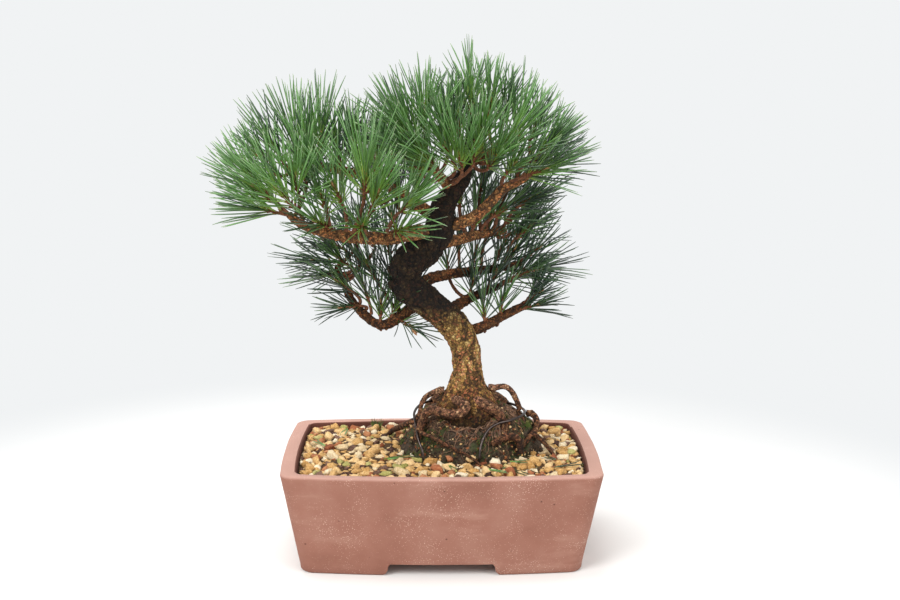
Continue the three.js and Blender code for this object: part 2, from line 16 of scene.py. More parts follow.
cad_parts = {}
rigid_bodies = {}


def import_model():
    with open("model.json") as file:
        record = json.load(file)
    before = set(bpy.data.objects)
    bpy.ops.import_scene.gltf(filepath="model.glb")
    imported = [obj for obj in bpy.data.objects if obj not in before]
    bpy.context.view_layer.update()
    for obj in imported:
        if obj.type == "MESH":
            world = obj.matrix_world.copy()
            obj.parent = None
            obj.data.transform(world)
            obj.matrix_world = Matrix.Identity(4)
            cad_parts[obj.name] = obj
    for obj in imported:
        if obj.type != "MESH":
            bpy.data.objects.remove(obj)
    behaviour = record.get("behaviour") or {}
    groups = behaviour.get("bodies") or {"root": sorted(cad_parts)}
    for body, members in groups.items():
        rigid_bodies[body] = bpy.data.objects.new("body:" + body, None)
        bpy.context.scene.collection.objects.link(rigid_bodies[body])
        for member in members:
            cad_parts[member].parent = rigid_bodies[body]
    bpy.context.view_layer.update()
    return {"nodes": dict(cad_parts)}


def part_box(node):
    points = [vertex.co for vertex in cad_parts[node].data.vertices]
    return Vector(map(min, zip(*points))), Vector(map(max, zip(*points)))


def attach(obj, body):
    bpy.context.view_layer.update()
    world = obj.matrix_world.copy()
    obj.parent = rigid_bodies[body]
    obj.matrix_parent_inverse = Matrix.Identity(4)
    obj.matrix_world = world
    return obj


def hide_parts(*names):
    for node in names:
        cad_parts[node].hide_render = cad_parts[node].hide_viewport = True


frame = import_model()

MM = 0.001
print("CAD nodes:", len(frame["nodes"]))

# %% [markdown]
# The pot is the only regular thing here, so it gives the drawing its centre. `home` is the
# point on the table under the middle of the pot, and `seat` is the point above it, level with
# the top of the grit, that the tree's places are counted from.

# %% Find the centre of the pot
pot_low, pot_high = (Vector(corner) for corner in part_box("pot"))
POT_LENGTH, POT_DEPTH, POT_HEIGHT = pot_high - pot_low
home = Vector(((pot_low.x + pot_high.x) / 2, (pot_low.y + pot_high.y) / 2, 0))
GRIT_BELOW_RIM = 3 * MM
seat = home + Vector((0, 0, POT_HEIGHT - GRIT_BELOW_RIM))
print("pot (mm):", [round(side / MM, 1) for side in (POT_LENGTH, POT_DEPTH, POT_HEIGHT)])

# %% [markdown]
# A few helpers serve the whole file. Colours are written as the hex values a painter would
# read off a chart, which are sRGB, and a shader wants linear light, so one function turns
# them. One more adds a shader node together with its settings and links, and short ones for
# the node kinds that come up all the time give back the socket that is wanted next.

# %% Helpers for materials
SOCKETS = {"tint": "Base Color", "rough": "Roughness", "gloss": "Specular IOR Level",
           "metal": "Metallic"}


def linear(code, alpha=1.0):
    channels = [int(code[i:i + 2], 16) / 255 for i in (0, 2, 4)]
    bent = [c / 12.92 if c <= 0.04045 else ((c + 0.055) / 1.055) ** 2.4 for c in channels]
    return (*bent, alpha)


def add(tree, kind, inputs=None, stops=None, **settings):
    made = tree.nodes.new(kind)
    for name, value in settings.items():
        setattr(made, name, value)
    for key, value in (inputs or {}).items():
        if isinstance(value, bpy.types.NodeSocket):
            tree.links.new(value, made.inputs[key])
        else:
            made.inputs[key].default_value = value
    if stops:
        ramp = made.color_ramp
        while len(ramp.elements) < len(stops):
            ramp.elements.new(1.0)
        for element, (place, colour) in zip(ramp.elements, stops):
            element.position = place
            element.color = colour
    return made


def grain(size_mm):
    """The Scale of a texture whose features are about this size, on coordinates in metres."""
    return 1 / (size_mm * MM)


def new_material(name):
    material = bpy.data.materials.new(name)
    material.use_nodes = True
    tree = material.node_tree
    return material, tree, add(tree, "ShaderNodeTexCoord").outputs["Object"]


def noise_at(tree, where, size_mm, detail=2.0, rough=0.5):
    return add(tree, "ShaderNodeTexNoise", {
        "Vector": where, "Scale": grain(size_mm), "Detail": detail, "Roughness": rough}).outputs["Fac"]


def cells_at(tree, where, size_mm, **settings):
    return add(tree, "ShaderNodeTexVoronoi", {"Vector": where, "Scale": grain(size_mm)},
               **settings).outputs["Distance"]


def stored(tree, name):
    return add(tree, "ShaderNodeAttribute", attribute_name=name).outputs["Fac"]


def maths(tree, operation, first, second):
    return add(tree, "ShaderNodeMath", {0: first, 1: second}, operation=operation).outputs[0]


def remap(tree, value, low, high, to_low=0.0, to_high=1.0):
    return add(tree, "ShaderNodeMapRange", {
        "Value": value, "From Min": low, "From Max": high,
        "To Min": to_low, "To Max": to_high}).outputs["Result"]


def ramped(tree, value, stops):
    return add(tree, "ShaderNodeValToRGB", {"Fac": value},
               stops=[(place, linear(code)) for place, code in stops]).outputs["Color"]


def colour_mix(tree, share, under, over, mode="MIX"):
    return add(tree, "ShaderNodeMix", {0: share, 6: under, 7: over},
               data_type="RGBA", blend_type=mode).outputs[2]


def bumped(tree, height, strength, deep_mm, under=None, **settings):
    inputs = {"Height": height, "Strength": strength, "Distance": deep_mm * MM}
    if under:
        inputs["Normal"] = under
    return add(tree, "ShaderNodeBump", inputs, **settings).outputs["Normal"]


def dressed(material, colour=None, normal=None, **values):
    """Join a colour and a normal to a material's shader, and set its plain values."""
    tree = material.node_tree
    shader = tree.nodes["Principled BSDF"]
    for title, socket in (("Base Color", colour), ("Normal", normal)):
        if socket:
            tree.links.new(socket, shader.inputs[title])
    for title, value in values.items():
        shader.inputs[SOCKETS[title]].default_value = value
    return material


# %% Helpers for pieces
rng = random.Random(39)


def any_turn():
    return rng.uniform(0, 6.28)


def verts_of(geometry):
    return [part for part in geometry if isinstance(part, bmesh.types.BMVert)]


def mesh_of(bm, name):
    mesh = bpy.data.meshes.new(name)
    bm.to_mesh(mesh)
    bm.free()
    return mesh


def linked(name, data):
    made = bpy.data.objects.new(name, data)
    bpy.context.collection.objects.link(made)
    return made


def place(name, mesh, materials, slot, nodes=(), smooth=True):
    """Put a finished mesh in the scene as a piece of the object."""
    piece = linked(name, mesh)
    for material in materials:
        mesh.materials.append(material)
    if smooth:
        mesh.shade_smooth()
    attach(piece, "root")
    if nodes:
        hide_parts(*nodes)
    print(f"{name}: {len(mesh.polygons)} faces")
    return piece


def settled(piece):
    """Apply a piece's modifiers and keep the result as its mesh."""
    graph = bpy.context.evaluated_depsgraph_get()
    result = bpy.data.meshes.new_from_object(piece.evaluated_get(graph))
    piece.modifiers.clear()
    old = piece.data
    piece.data = result
    bpy.data.meshes.remove(old)
    return piece


def cad_copy(*nodes):
    """One bmesh that holds copies of CAD nodes, with their loose triangles merged."""
    bm = bmesh.new()
    for name in nodes:
        bm.from_mesh(bpy.data.objects[name].data)
    bmesh.ops.remove_doubles(bm, verts=bm.verts, dist=0.01 * MM)
    return bm


# %% [markdown]
# Fired clay first. Unglazed red stoneware is matt, with pale sand grains in the body, small dark
# pits where grit burned out, and a chalky bloom where hard water has dried on it. The bloom
# runs level, because water does, so its noise is squashed upright to make long low clouds.

# %% Unglazed stoneware
def unglazed_stoneware(name, inner_shade="FFFFFF"):
    material, tree, where = new_material(name)
    clouds = noise_at(tree, where, 45, 5.0, 0.6)
    body = ramped(tree, clouds, [(0.3, "825647"), (0.52, "8E6152"), (0.75, "986E5F")])
    level = add(tree, "ShaderNodeMapping", {"Vector": where, "Scale": (1.0, 1.0, 4.5)})
    film = noise_at(tree, level.outputs["Vector"], 70, 6.0, 0.62)
    film_mask = remap(tree, film, 0.54, 0.76, 0.0, 0.42)
    bloomed = colour_mix(tree, film_mask, body, linear("B69080"))
    axes = add(tree, "ShaderNodeSeparateXYZ", {"Vector": where})
    # The top of the rim is lightened towards C9A294: partly real wear on the edge, partly a painted
    # highlight where the rim top faces the lamps.
    rim = remap(tree, axes.outputs["Z"], POT_HEIGHT - 2.2 * MM, POT_HEIGHT, 0.0, 0.55)
    rim_highlight_and_wear = colour_mix(tree, rim, bloomed, linear("C9A294"))
    sand = cells_at(tree, where, 1.35)
    drift = noise_at(tree, where, 28, 3.0)
    sand_size = remap(tree, drift, 0.35, 0.75, 0.08, 0.29)
    sand_mask = maths(tree, "LESS_THAN", sand, sand_size)
    sand_mix = maths(tree, "MULTIPLY", sand_mask, 0.5)
    sanded = colour_mix(tree, sand_mix, rim_highlight_and_wear, linear("DDC0AE"))
    pits = cells_at(tree, where, 13)
    pit_mask = remap(tree, pits, 0.035, 0.075, 0.85, 0.0)
    pitted = colour_mix(tree, pit_mask, sanded, linear("5B372D"))
    # Multiplying by a darker colour here is painted shade; the second stoneware uses it for the inside of
    # the wall.
    inner_shaded = colour_mix(tree, 1.0, pitted, linear(inner_shade), "MULTIPLY")
    tooth = noise_at(tree, where, 1.1, 4.0, 0.7)
    dents = noise_at(tree, where, 9, 2.0)
    tooth_bump = bumped(tree, tooth, 0.5, 0.5)
    dent_bump = bumped(tree, dents, 0.3, 1.2, tooth_bump)
    return dressed(material, inner_shaded, dent_bump, rough=0.82, gloss=0.3)


stoneware = unglazed_stoneware("unglazed_stoneware")
# The same clay multiplied by a greyish brown, as painted shade for the inside of the wall.
shaded_inner_stoneware = unglazed_stoneware("shaded_inner_stoneware", inner_shade="9A8078")

# %% [markdown]
# The pot is pressed clay: walls that lean in towards the foot, long sides that bow, and a flat
# rim whose edges wear round. A flat grid is rolled up into the wall, one column for each
# place round the outline and one row for each step from the foot, over the rim and down
# inside. That gives an even skin that can carry the slight waver of a hand-finished pot.

# %% The outline of the pot
TAPER = 14 * MM
LONG_BOW = 7 * MM
END_BOW = 3 * MM
CORNER = 9 * MM
END_WALL = 12 * MM
SIDE_WALL = 8 * MM
FOOT_HEIGHT = 9.5 * MM
FLOOR_TOP = FOOT_HEIGHT + 9 * MM
END_STEPS, SIDE_STEPS = 16, 34


def oblong(half_length, half_depth, corner):
    """Points round a rounded oblong whose sides bow out, anticlockwise from the front right."""
    x0, y0 = half_length - END_BOW, half_depth - LONG_BOW
    points = []
    for sx, sy, start, steps in ((1, -1, -90, END_STEPS), (1, 1, 0, SIDE_STEPS),
                                 (-1, 1, 90, END_STEPS), (-1, -1, 180, SIDE_STEPS)):
        centre = Vector((sx * (x0 - corner), sy * (y0 - corner)))
        arc = [centre + corner * Vector((math.cos(math.radians(start + turn)),
                                         math.sin(math.radians(start + turn))))
               for turn in range(0, 91, 9)]
        way = Vector((-math.sin(math.radians(start + 90)), math.cos(math.radians(start + 90))))
        run = 2 * ((y0 if steps == END_STEPS else x0) - corner)
        points += arc + [arc[-1] + way * run * step / (steps + 1) for step in range(1, steps + 1)]
    return [Vector((p.x * (1 + END_BOW / x0 * (1 - (p.y / y0) ** 2)),
                    p.y * (1 + LONG_BOW / y0 * (1 - (p.x / x0) ** 2)))) for p in points]


def outer_ring(z, inset=0.0):
    lean = TAPER * (1 - z / POT_HEIGHT) + inset
    flat = oblong(POT_LENGTH / 2 - lean, POT_DEPTH / 2 - lean, CORNER)
    return [home + Vector((p.x, p.y, z)) for p in flat]


def inner_ring(z, inset=0.0):
    lean = TAPER * (1 - z / POT_HEIGHT) + inset
    flat = oblong(POT_LENGTH / 2 - END_WALL - lean, POT_DEPTH / 2 - SIDE_WALL - lean,
                  CORNER - SIDE_WALL / 2)
    return [home + Vector((p.x, p.y, z)) for p in flat]


print("outline points:", len(outer_ring(0)))


# %% Roll up the wall
def rolled(rings):
    """A skin through rings of points: a flat grid whose rows are laid on the rings."""
    across, up = len(rings[0]), len(rings)
    bm = bmesh.new()
    bmesh.ops.create_grid(bm, x_segments=across, y_segments=up - 1, size=1)
    bm.verts.ensure_lookup_table()
    for row, ring in enumerate(rings):
        for column in range(across + 1):
            bm.verts[row * (across + 1) + column].co = ring[column % across]
    bmesh.ops.remove_doubles(bm, verts=bm.verts, dist=0.001 * MM)
    bmesh.ops.holes_fill(bm, edges=[edge for edge in bm.edges if edge.is_boundary])
    bmesh.ops.recalc_face_normals(bm, faces=bm.faces)
    return bm


EDGE = 1.3 * MM
OUTER_ROWS, INNER_ROWS = 18, 12
rings = [outer_ring(0, 1.6 * MM), outer_ring(0.4 * MM, 0.5 * MM), outer_ring(1.6 * MM)]
rings += [outer_ring(1.6 * MM + (POT_HEIGHT - EDGE - 1.6 * MM) * row / OUTER_ROWS)
          for row in range(1, OUTER_ROWS + 1)]
rings += [outer_ring(POT_HEIGHT - 0.38 * EDGE, 0.3 * EDGE), outer_ring(POT_HEIGHT, EDGE)]
rim_out, rim_in = rings[-1], inner_ring(POT_HEIGHT, -0.9 * EDGE)
rings += [[a.lerp(b, share) for a, b in zip(rim_out, rim_in)] for share in (0.33, 0.67)]
rings += [rim_in, inner_ring(POT_HEIGHT - 0.35 * EDGE, -0.2 * EDGE)]
rings += [inner_ring(POT_HEIGHT - EDGE - (POT_HEIGHT - EDGE - FLOOR_TOP) * row / INNER_ROWS)
          for row in range(INNER_ROWS + 1)]
wall = rolled(rings)
print("pot wall faces:", len(wall.faces))

# %% [markdown]
# The four feet are what is left when two gaps are cut across under the pot, one from front to
# back and one from end to end. Each gap has a small curl where it meets the ground. The water
# holes and the holes for the tie wire go through the floor. Cutters and a Boolean do this, as
# a knife and a hole cutter do on leather-hard clay.

# %% Cut the feet and the holes
FRONT_GAP = 80 * MM
END_GAP = 48 * MM
FLARE = 4.5 * MM
DRAIN_SPACING = 110 * MM
DRAIN_HOLE = 20 * MM
TIE_HOLE = 5 * MM
tie_places = [Vector((-14, -31, 0)) * MM, Vector((29, -35, 0)) * MM]


def gap_cutter(width, run, turn):
    """A bar with the section of the gap between two feet, turned about the pot's middle."""
    half = width / 2
    curl = [(FLARE, -1 * MM), (FLARE, 0), (0.35 * FLARE, 0.2 * FOOT_HEIGHT),
            (0.1 * FLARE, 0.5 * FOOT_HEIGHT), (0.05 * FLARE, 0.75 * FOOT_HEIGHT),
            (-0.3 * FLARE, FOOT_HEIGHT)]
    side = [Vector((half + out, -run / 2, z)) for out, z in curl]
    section = side + [Vector((-p.x, p.y, p.z)) for p in reversed(side)]
    bm = bmesh.new()
    face = bm.faces.new([bm.verts.new(p) for p in section])
    pushed = bmesh.ops.extrude_face_region(bm, geom=[face])["geom"]
    bmesh.ops.translate(bm, verts=verts_of(pushed), vec=(0, run, 0))
    bmesh.ops.rotate(bm, verts=bm.verts, matrix=Matrix.Rotation(turn, 3, "Z"))
    bmesh.ops.translate(bm, verts=bm.verts, vec=home)
    bmesh.ops.recalc_face_normals(bm, faces=bm.faces)
    return bm


def hole_cutter(middle, diameter):
    bm = bmesh.new()
    bmesh.ops.create_cone(bm, segments=48, radius1=diameter / 2, radius2=diameter / 2,
                          depth=FLOOR_TOP * 1.2, cap_ends=True)
    bmesh.ops.translate(bm, verts=bm.verts, vec=home + middle + Vector((0, 0, FLOOR_TOP * 0.75)))
    return bm


cutters = [gap_cutter(FRONT_GAP, POT_DEPTH * 1.2, 0), gap_cutter(END_GAP, POT_LENGTH * 1.2, math.pi / 2)]
cutters += [hole_cutter(Vector((side * DRAIN_SPACING / 2, 0, 0)), DRAIN_HOLE) for side in (-1, 1)]
cutters += [hole_cutter(spot, TIE_HOLE) for spot in tie_places]

pot_piece = place("clay_pot", mesh_of(wall, "clay_pot"), [stoneware, shaded_inner_stoneware],
                  "stoneware", ["pot"])
for number, cutter in enumerate(cutters):
    tool = linked(f"cutter_{number}", mesh_of(cutter, f"cutter_{number}"))
    cut = pot_piece.modifiers.new(f"cut_{number}", "BOOLEAN")
    cut.operation = "DIFFERENCE"
    cut.solver = "EXACT"
    cut.object = tool
softened = pot_piece.modifiers.new("worn_edges", "BEVEL")
softened.width = 0.7 * MM
softened.segments = 2
softened.limit_method = "ANGLE"
softened.angle_limit = math.radians(50)
settled(pot_piece)
for number in range(len(cutters)):
    bpy.data.objects.remove(bpy.data.objects[f"cutter_{number}"])
print("pot after cutting:", len(pot_piece.data.polygons), "faces")

# %% [markdown]
# A pressed and hand-finished wall is never quite flat. Slow noise moves each point of the pot
# a few tenths of a millimetre, too little to change its size but enough to bend a highlight.
# The ground face of the feet stays flat, because the pot stands on it.

# %% Let the clay waver
for vertex in pot_piece.data.vertices:
    spot = vertex.co / (26 * MM)
    waver = noise.noise(spot) * 0.35 * MM + noise.noise(spot * 4.3) * 0.1 * MM
    if vertex.co.z > 2 * MM:
        inward = min(waver - 0.3 * MM, 0)
        vertex.co += Vector((vertex.normal.x, vertex.normal.y, 0)) * inward
pot_piece.data.update()
# Faces above the floor that face inward get the second, darker stoneware: painted shade on the inside of the
# wall.
for face in pot_piece.data.polygons:
    outward = Vector((face.center.x - home.x, face.center.y - home.y, 0))
    if face.center.z > FLOOR_TOP - MM and face.normal.dot(outward.normalized()) < -0.4:
        face.material_index = 1

# %% [markdown]
# Pine wood is drawn from the CAD limbs, so trunk and branches stay where the model has them.
# The CAD limbs are many-sided tubes with hairline gaps between them. Trunk, branches and roots
# are three groups. In each, copies of the limbs are swollen a little so that the gaps close, and
# a voxel remesh turns them into one fine even skin, which is how a sculptor starts a rough form.
# Six roots are slimmed first. Bark is then raised on each skin.

# %% Grow one skin over several limbs
def one_skin(name, nodes, voxel, swell, rounds=10, slim=()):
    """A single skin over limbs, each swollen, or slimmed to a share of its thickness."""
    whole = bmesh.new()
    for node in nodes:
        bm = cad_copy(node)
        share = dict(slim).get(node, 1)
        if share < 1:
            tree = BVHTree.FromBMesh(bm)
            drawn = [(v, thickness_at(tree, v)) for v in bm.verts]
            for vertex, thick in drawn:
                vertex.co -= vertex.normal * thick * (1 - share) / 2
        for vertex in bm.verts:
            vertex.co += vertex.normal * swell
        limb = mesh_of(bm, node)
        whole.from_mesh(limb)
        bpy.data.meshes.remove(limb)
    piece = linked(name, mesh_of(whole, name))
    skin = piece.modifiers.new("skin", "REMESH")
    skin.mode = "VOXEL"
    skin.voxel_size = voxel
    eased = piece.modifiers.new("eased", "SMOOTH")
    eased.factor = 0.5
    eased.iterations = rounds
    settled(piece)
    mesh = piece.data
    bpy.data.objects.remove(piece)
    return mesh


def surface_tree(mesh):
    mesh.calc_loop_triangles()
    return BVHTree.FromPolygons([v.co for v in mesh.vertices],
                                [t.vertices[:] for t in mesh.loop_triangles])


def thickness_at(tree, vertex, most=30 * MM):
    """How thick the limb is under a point of its skin, found by a ray sent straight through."""
    inward = -vertex.normal
    hit = tree.ray_cast(vertex.co + inward * 0.3 * MM, inward, most)
    return hit[3] if hit[3] is not None else most


# %% [markdown]
# Pine bark splits into plates as the trunk swells. A Voronoi pattern has the same logic: each
# plate belongs to the nearest of many scattered centres, and the crack runs where two centres
# are equally near. The plates are taller than wide, larger on thick wood than on twigs, and
# stand proud by about a millimetre. Two numbers are left on each point for the shader: how deep
# in a crack it lies, and which plate it is on.

# %% Raise the bark
def raise_bark(mesh, plate_mm, depth_mm, flow=(1, 1, 0.55)):
    tree = surface_tree(mesh)
    plates = mesh.attributes.new("plate", "FLOAT", "POINT")
    cracks = mesh.attributes.new("crack", "FLOAT", "POINT")
    moves = []
    for vertex in mesh.vertices:
        thick = thickness_at(tree, vertex)
        grown = min(thick / (22 * MM), 1)
        size = plate_mm * (0.5 + 0.5 * grown) * MM
        wander = noise.noise_vector(vertex.co / (5 * MM)) * 0.45
        spot = Vector(a * b for a, b in zip(vertex.co, flow)) / size + wander
        near, centres = noise.voronoi(spot)
        gap = min((near[1] - near[0]) / 0.3, 1)
        plate = noise.cell(centres[0] * 3.7)
        flake = noise.noise(vertex.co / (1.5 * MM))
        lump = noise.noise(vertex.co / (10 * MM))
        rise = (gap ** 0.6 - 0.75) * depth_mm + 0.5 * depth_mm * (plate - 0.5)
        rise += 0.3 * depth_mm * flake + 1.3 * lump * grown
        cracks.data[vertex.index].value = 1 - gap
        plates.data[vertex.index].value = plate
        moves.append(vertex.normal * rise * (0.3 + 0.7 * grown) * MM)
    for vertex, move in zip(mesh.vertices, moves):
        vertex.co += move
    mesh.update()
    return mesh


BRANCHES = sorted(name for name in frame["nodes"] if name.startswith("branch_"))
ROOTS = sorted(name for name in frame["nodes"] if name.startswith("root_") and name != "root_ball")
SLIM_ROOTS = {"root_left_arch": 0.38, "root_right_arch": 0.52, "root_right_knee": 0.65,
              "root_right_knob": 0.85, "root_front_long": 0.68, "root_front_curl": 0.9}
trunk_mesh = raise_bark(one_skin("trunk", ["trunk"], 0.62 * MM, 0.5 * MM), 4.6, 0.9)
branch_mesh = raise_bark(one_skin("branches", BRANCHES, 0.66 * MM, 0.5 * MM), 4.0, 0.9)
root_mesh = raise_bark(one_skin("roots", ROOTS, 0.62 * MM, 0.1 * MM, 6, SLIM_ROOTS), 3.4, 0.5)
print("wood points:", len(trunk_mesh.vertices), len(branch_mesh.vertices), len(root_mesh.vertices))

# %% [markdown]
# The colour of bark follows its relief: cracks hold dark old cork, plates weather to ochre, and
# where a flake has just come away the fresh layer is orange or pink. A colour by height is
# multiplied over it. At the soil the trunk is damp and mossy and darkened further by painted
# shade, a hand's breadth up it is palest, and under the needles and inside the crown the wood
# carries painted shade again; the roots have painted shade near the soil. The crack and plate
# numbers from the last step keep colour and relief in register.

# %% Bark
def bark(name, cork, plates, fresh, damp_and_shade_by_height, flake_mm=2.1):
    """The height list gives (millimetres above the seat, colour that the bark is multiplied by): painted
    shade under the needles and near the soil.
    """
    material, tree, where = new_material(name)
    crack = stored(tree, "crack")
    plate = stored(tree, "plate")
    wander = add(tree, "ShaderNodeTexNoise", {"Vector": where, "Scale": grain(4), "Detail": 3.0})
    strayed = add(tree, "ShaderNodeVectorMath", {0: wander.outputs["Color"], 1: (2.2 * MM,) * 3},
                  operation="MULTIPLY")
    stray = add(tree, "ShaderNodeVectorMath", {0: where, 1: strayed.outputs["Vector"]})
    upright = add(tree, "ShaderNodeMapping", {"Vector": stray.outputs["Vector"], "Scale": (1, 1, 1.15)})
    flake = add(tree, "ShaderNodeTexVoronoi", {
        "Vector": upright.outputs["Vector"], "Scale": grain(flake_mm)})
    seam = cells_at(tree, upright.outputs["Vector"], flake_mm, feature="DISTANCE_TO_EDGE")
    pick = add(tree, "ShaderNodeSeparateColor", {"Color": flake.outputs["Color"]})
    grit = noise_at(tree, where, 1.6, 6.0, 0.75)
    tone = add(tree, "ShaderNodeMix", {0: 0.45, 2: pick.outputs["Red"], 3: grit})
    toned = add(tree, "ShaderNodeMix", {0: 0.2, 2: tone.outputs["Result"], 3: plate})
    steps = [(0.22 + 0.56 * n / (len(plates) - 1), code) for n, code in enumerate(plates)]
    plated = ramped(tree, toned.outputs["Result"], steps)
    fresh_mask = remap(tree, pick.outputs["Green"], 0.72, 0.8, 0.0, 0.7)
    flaked = colour_mix(tree, fresh_mask, plated, linear(fresh))
    seam_mask = remap(tree, seam, 0.0, 0.13, 0.9, 0.0)
    crack_mask = remap(tree, crack, 0.35, 0.95, 0.0, 0.7)
    dark_mask = maths(tree, "MAXIMUM", seam_mask, crack_mask)
    split = colour_mix(tree, dark_mask, flaked, linear(cork))
    # Painted shade: the height ramp darkens the wood near the soil and under the needles.
    lowest, highest = damp_and_shade_by_height[0][0], damp_and_shade_by_height[-1][0]
    axes = add(tree, "ShaderNodeSeparateXYZ", {"Vector": where})
    climb = remap(tree, axes.outputs["Z"], seat.z + lowest * MM, seat.z + highest * MM)
    light = ramped(tree, climb, [((mm - lowest) / (highest - lowest), code) for mm, code in damp_and_shade_by_height])
    weathered_and_shaded = colour_mix(tree, 1.0, split, light, "MULTIPLY")
    fine_bump = bumped(tree, grit, 0.7, 0.5)
    seam_bump = bumped(tree, seam_mask, 0.8, 0.5, fine_bump, invert=True)
    return dressed(material, weathered_and_shaded, seam_bump, rough=0.85, gloss=0.3)


# Trunk: dark at the soil from damp, moss and painted shade, palest a hand's breadth up, painted shade under
# the needles. Branches: painted shade inside the crown. Roots: painted shade near the soil.
trunk_bark = bark("plated_pine_bark", "2C1F14", ["4E3B22", "927240", "C09C5C", "E2CA92"], "C07C58",
                  [(14, "3E3A30"), (34, "8A7C6A"), (46, "DCC8B4"), (72, "FFFAF0"), (98, "D8D0BC"),
                   (118, "453F3A")])
branch_bark = bark("scaly_branch_bark", "1E140E", ["4C3420", "7A5330", "A07040", "BC8A58"], "C47A48",
                   [(60, "FFFFFF"), (95, "B0A498"), (130, "9A8C80"), (170, "FFFFFF")], 2.0)
root_bark = bark("wrinkled_root_bark", "20140D", ["3F2A1B", "76513A", "A67A57", "CDA783"], "B87E62",
                 [(-4, "8C7E6E"), (12, "B5A693"), (34, "DDD2C4"), (50, "FFFFFF")], 1.8)
place("trunk_wood", trunk_mesh, [trunk_bark], "trunk_bark", ["trunk"])
branch_wood = place("branch_wood", branch_mesh, [branch_bark], "branch_bark", BRANCHES)
place("surface_roots", root_mesh, [root_bark], "root_bark", ROOTS)

# %% [markdown]
# The root ball is old soil held by a felt of fine roots, dark and damp, with moss on its
# shoulders. Its CAD solid is remeshed and crumbled with noise at two sizes. It keeps the
# name of the soil it is made of, and its moss and fine roots are added on top of it.

# %% Crumbled soil
def damp_soil(name, dark, light, crumb_mm, moss=None):
    material, tree, where = new_material(name)
    crumbs = noise_at(tree, where, crumb_mm, 6.0, 0.75)
    colour = ramped(tree, crumbs, [(0.35, dark), (0.62, light), (0.78, "8A6F4C")])
    if moss:
        patches = noise_at(tree, where, 16, 4.0, 0.65)
        cover = remap(tree, patches, 0.46, 0.6, 0.0, 0.7)
        colour = colour_mix(tree, cover, colour, linear(moss))
    specks = cells_at(tree, where, 4.5)
    speck_mask = maths(tree, "LESS_THAN", specks, 0.13)
    specked = colour_mix(tree, speck_mask, colour, linear("A89474"))
    bump = bumped(tree, crumbs, 0.9, 1.2)
    return dressed(material, specked, bump, rough=0.9, gloss=0.3)


old_soil = damp_soil("old_root_soil", "17120D", "574839", 1.7, moss="3A4524")
ball_mesh = one_skin("ball", ["root_ball"], 1.1 * MM, 0.2 * MM, rounds=6)
for vertex in ball_mesh.vertices:
    crumble = noise.noise(vertex.co / (9 * MM)) * 1.6 + noise.noise(vertex.co / (2.6 * MM)) * 1.5
    vertex.co += vertex.normal * (crumble + 0.4) * MM
ball_mesh.update()
ball_tree = surface_tree(ball_mesh)
place("root_ball_soil", ball_mesh, [old_soil], "root_ball", ["root_ball"])

# %% [markdown]
# Many of the pieces that follow are one small shape laid down hundreds of times: stones, needles,
# moss. Each shape is modelled once with a few dozen faces. `stamp` then lays down copies by
# matrix and writes them into a single mesh, with a shade number for each copy, which the
# materials read. It is mostly random, so that no two neighbours look alike; for the needles and
# the lowest stones it also carries painted shade.

# %% Stamp many copies of small shapes into one mesh
def shape_of(bm):
    """A small mesh as arrays that are quick to copy."""
    bm.verts.index_update()
    corners = [[v.index for v in face.verts] for face in bm.faces]
    shape = {
        "points": np.array([v.co[:] for v in bm.verts]),
        "loops": np.array([i for face in corners for i in face]),
        "sizes": np.array([len(face) for face in corners]),
        "slots": np.array([face.material_index for face in bm.faces]),
    }
    bm.free()
    return shape


def stamp(name, copies):
    """One mesh from a list of (shape, matrix, shade)."""
    points, loops, sizes, slots, along, shades = [], [], [], [], [], []
    count = 0
    for shape, matrix, shade in copies:
        turn = np.array(matrix.to_3x3())
        flat = shape["points"]
        points.append(flat @ turn.T + np.array(matrix.translation))
        loops.append(shape["loops"] + count)
        sizes.append(shape["sizes"])
        slots.append(shape["slots"])
        along.append(shape.get("along", np.zeros(len(flat))))
        shades.append(np.full(len(flat), shade))
        count += len(flat)
    sizes = np.concatenate(sizes)
    loops = np.concatenate(loops)
    mesh = bpy.data.meshes.new(name)
    mesh.vertices.add(count)
    mesh.vertices.foreach_set("co", np.concatenate(points).ravel())
    mesh.loops.add(len(loops))
    mesh.loops.foreach_set("vertex_index", loops)
    mesh.polygons.add(len(sizes))
    mesh.polygons.foreach_set("loop_start", np.concatenate(([0], np.cumsum(sizes)[:-1])))
    mesh.polygons.foreach_set("material_index", np.concatenate(slots))
    for title, values in (("along", along), ("shade", shades)):
        layer = mesh.attributes.new(title, "FLOAT", "POINT")
        layer.data.foreach_set("value", np.concatenate(values))
    mesh.update(calc_edges=True)
    mesh.validate()
    return mesh


def aimed(at, direction, spin, scale=(1, 1, 1)):
    """A matrix that puts a shape's own +Z along a direction, turned by spin about it."""
    aim = direction.to_track_quat("Z", "Y").to_matrix()
    turned = aim @ Matrix.Rotation(spin, 3, "Z") @ Matrix.Diagonal(Vector(scale))
    return Matrix.Translation(at) @ turned.to_4x4()


# %% [markdown]
# Bonsai grit is a mix of pumice, baked clay and lava, sieved to about 3 to 10 mm. Every stone
# starts as a sphere of eighty faces, cut flat by nine random planes and then roughened by noise.
# They are scattered big ones first, each kept off its neighbours, then smaller ones fill the
# gaps, half sunk in the bed.

# %% Stones
def stone_shape(seed):
    pick = random.Random(seed)
    bm = bmesh.new()
    bmesh.ops.create_icosphere(bm, subdivisions=2, radius=0.5)
    for _ in range(9):
        face = Vector([pick.gauss(0, 1) for _ in range(3)]).normalized()
        reach = pick.uniform(0.2, 0.4)
        for vertex in bm.verts:
            over = vertex.co.dot(face) - reach
            if over > 0:
                vertex.co -= face * over
    for vertex in bm.verts:
        vertex.co *= 1.25 + noise.noise(vertex.co * 5.1 + Vector((seed, 0, 0))) * 0.55
    return shape_of(bm)


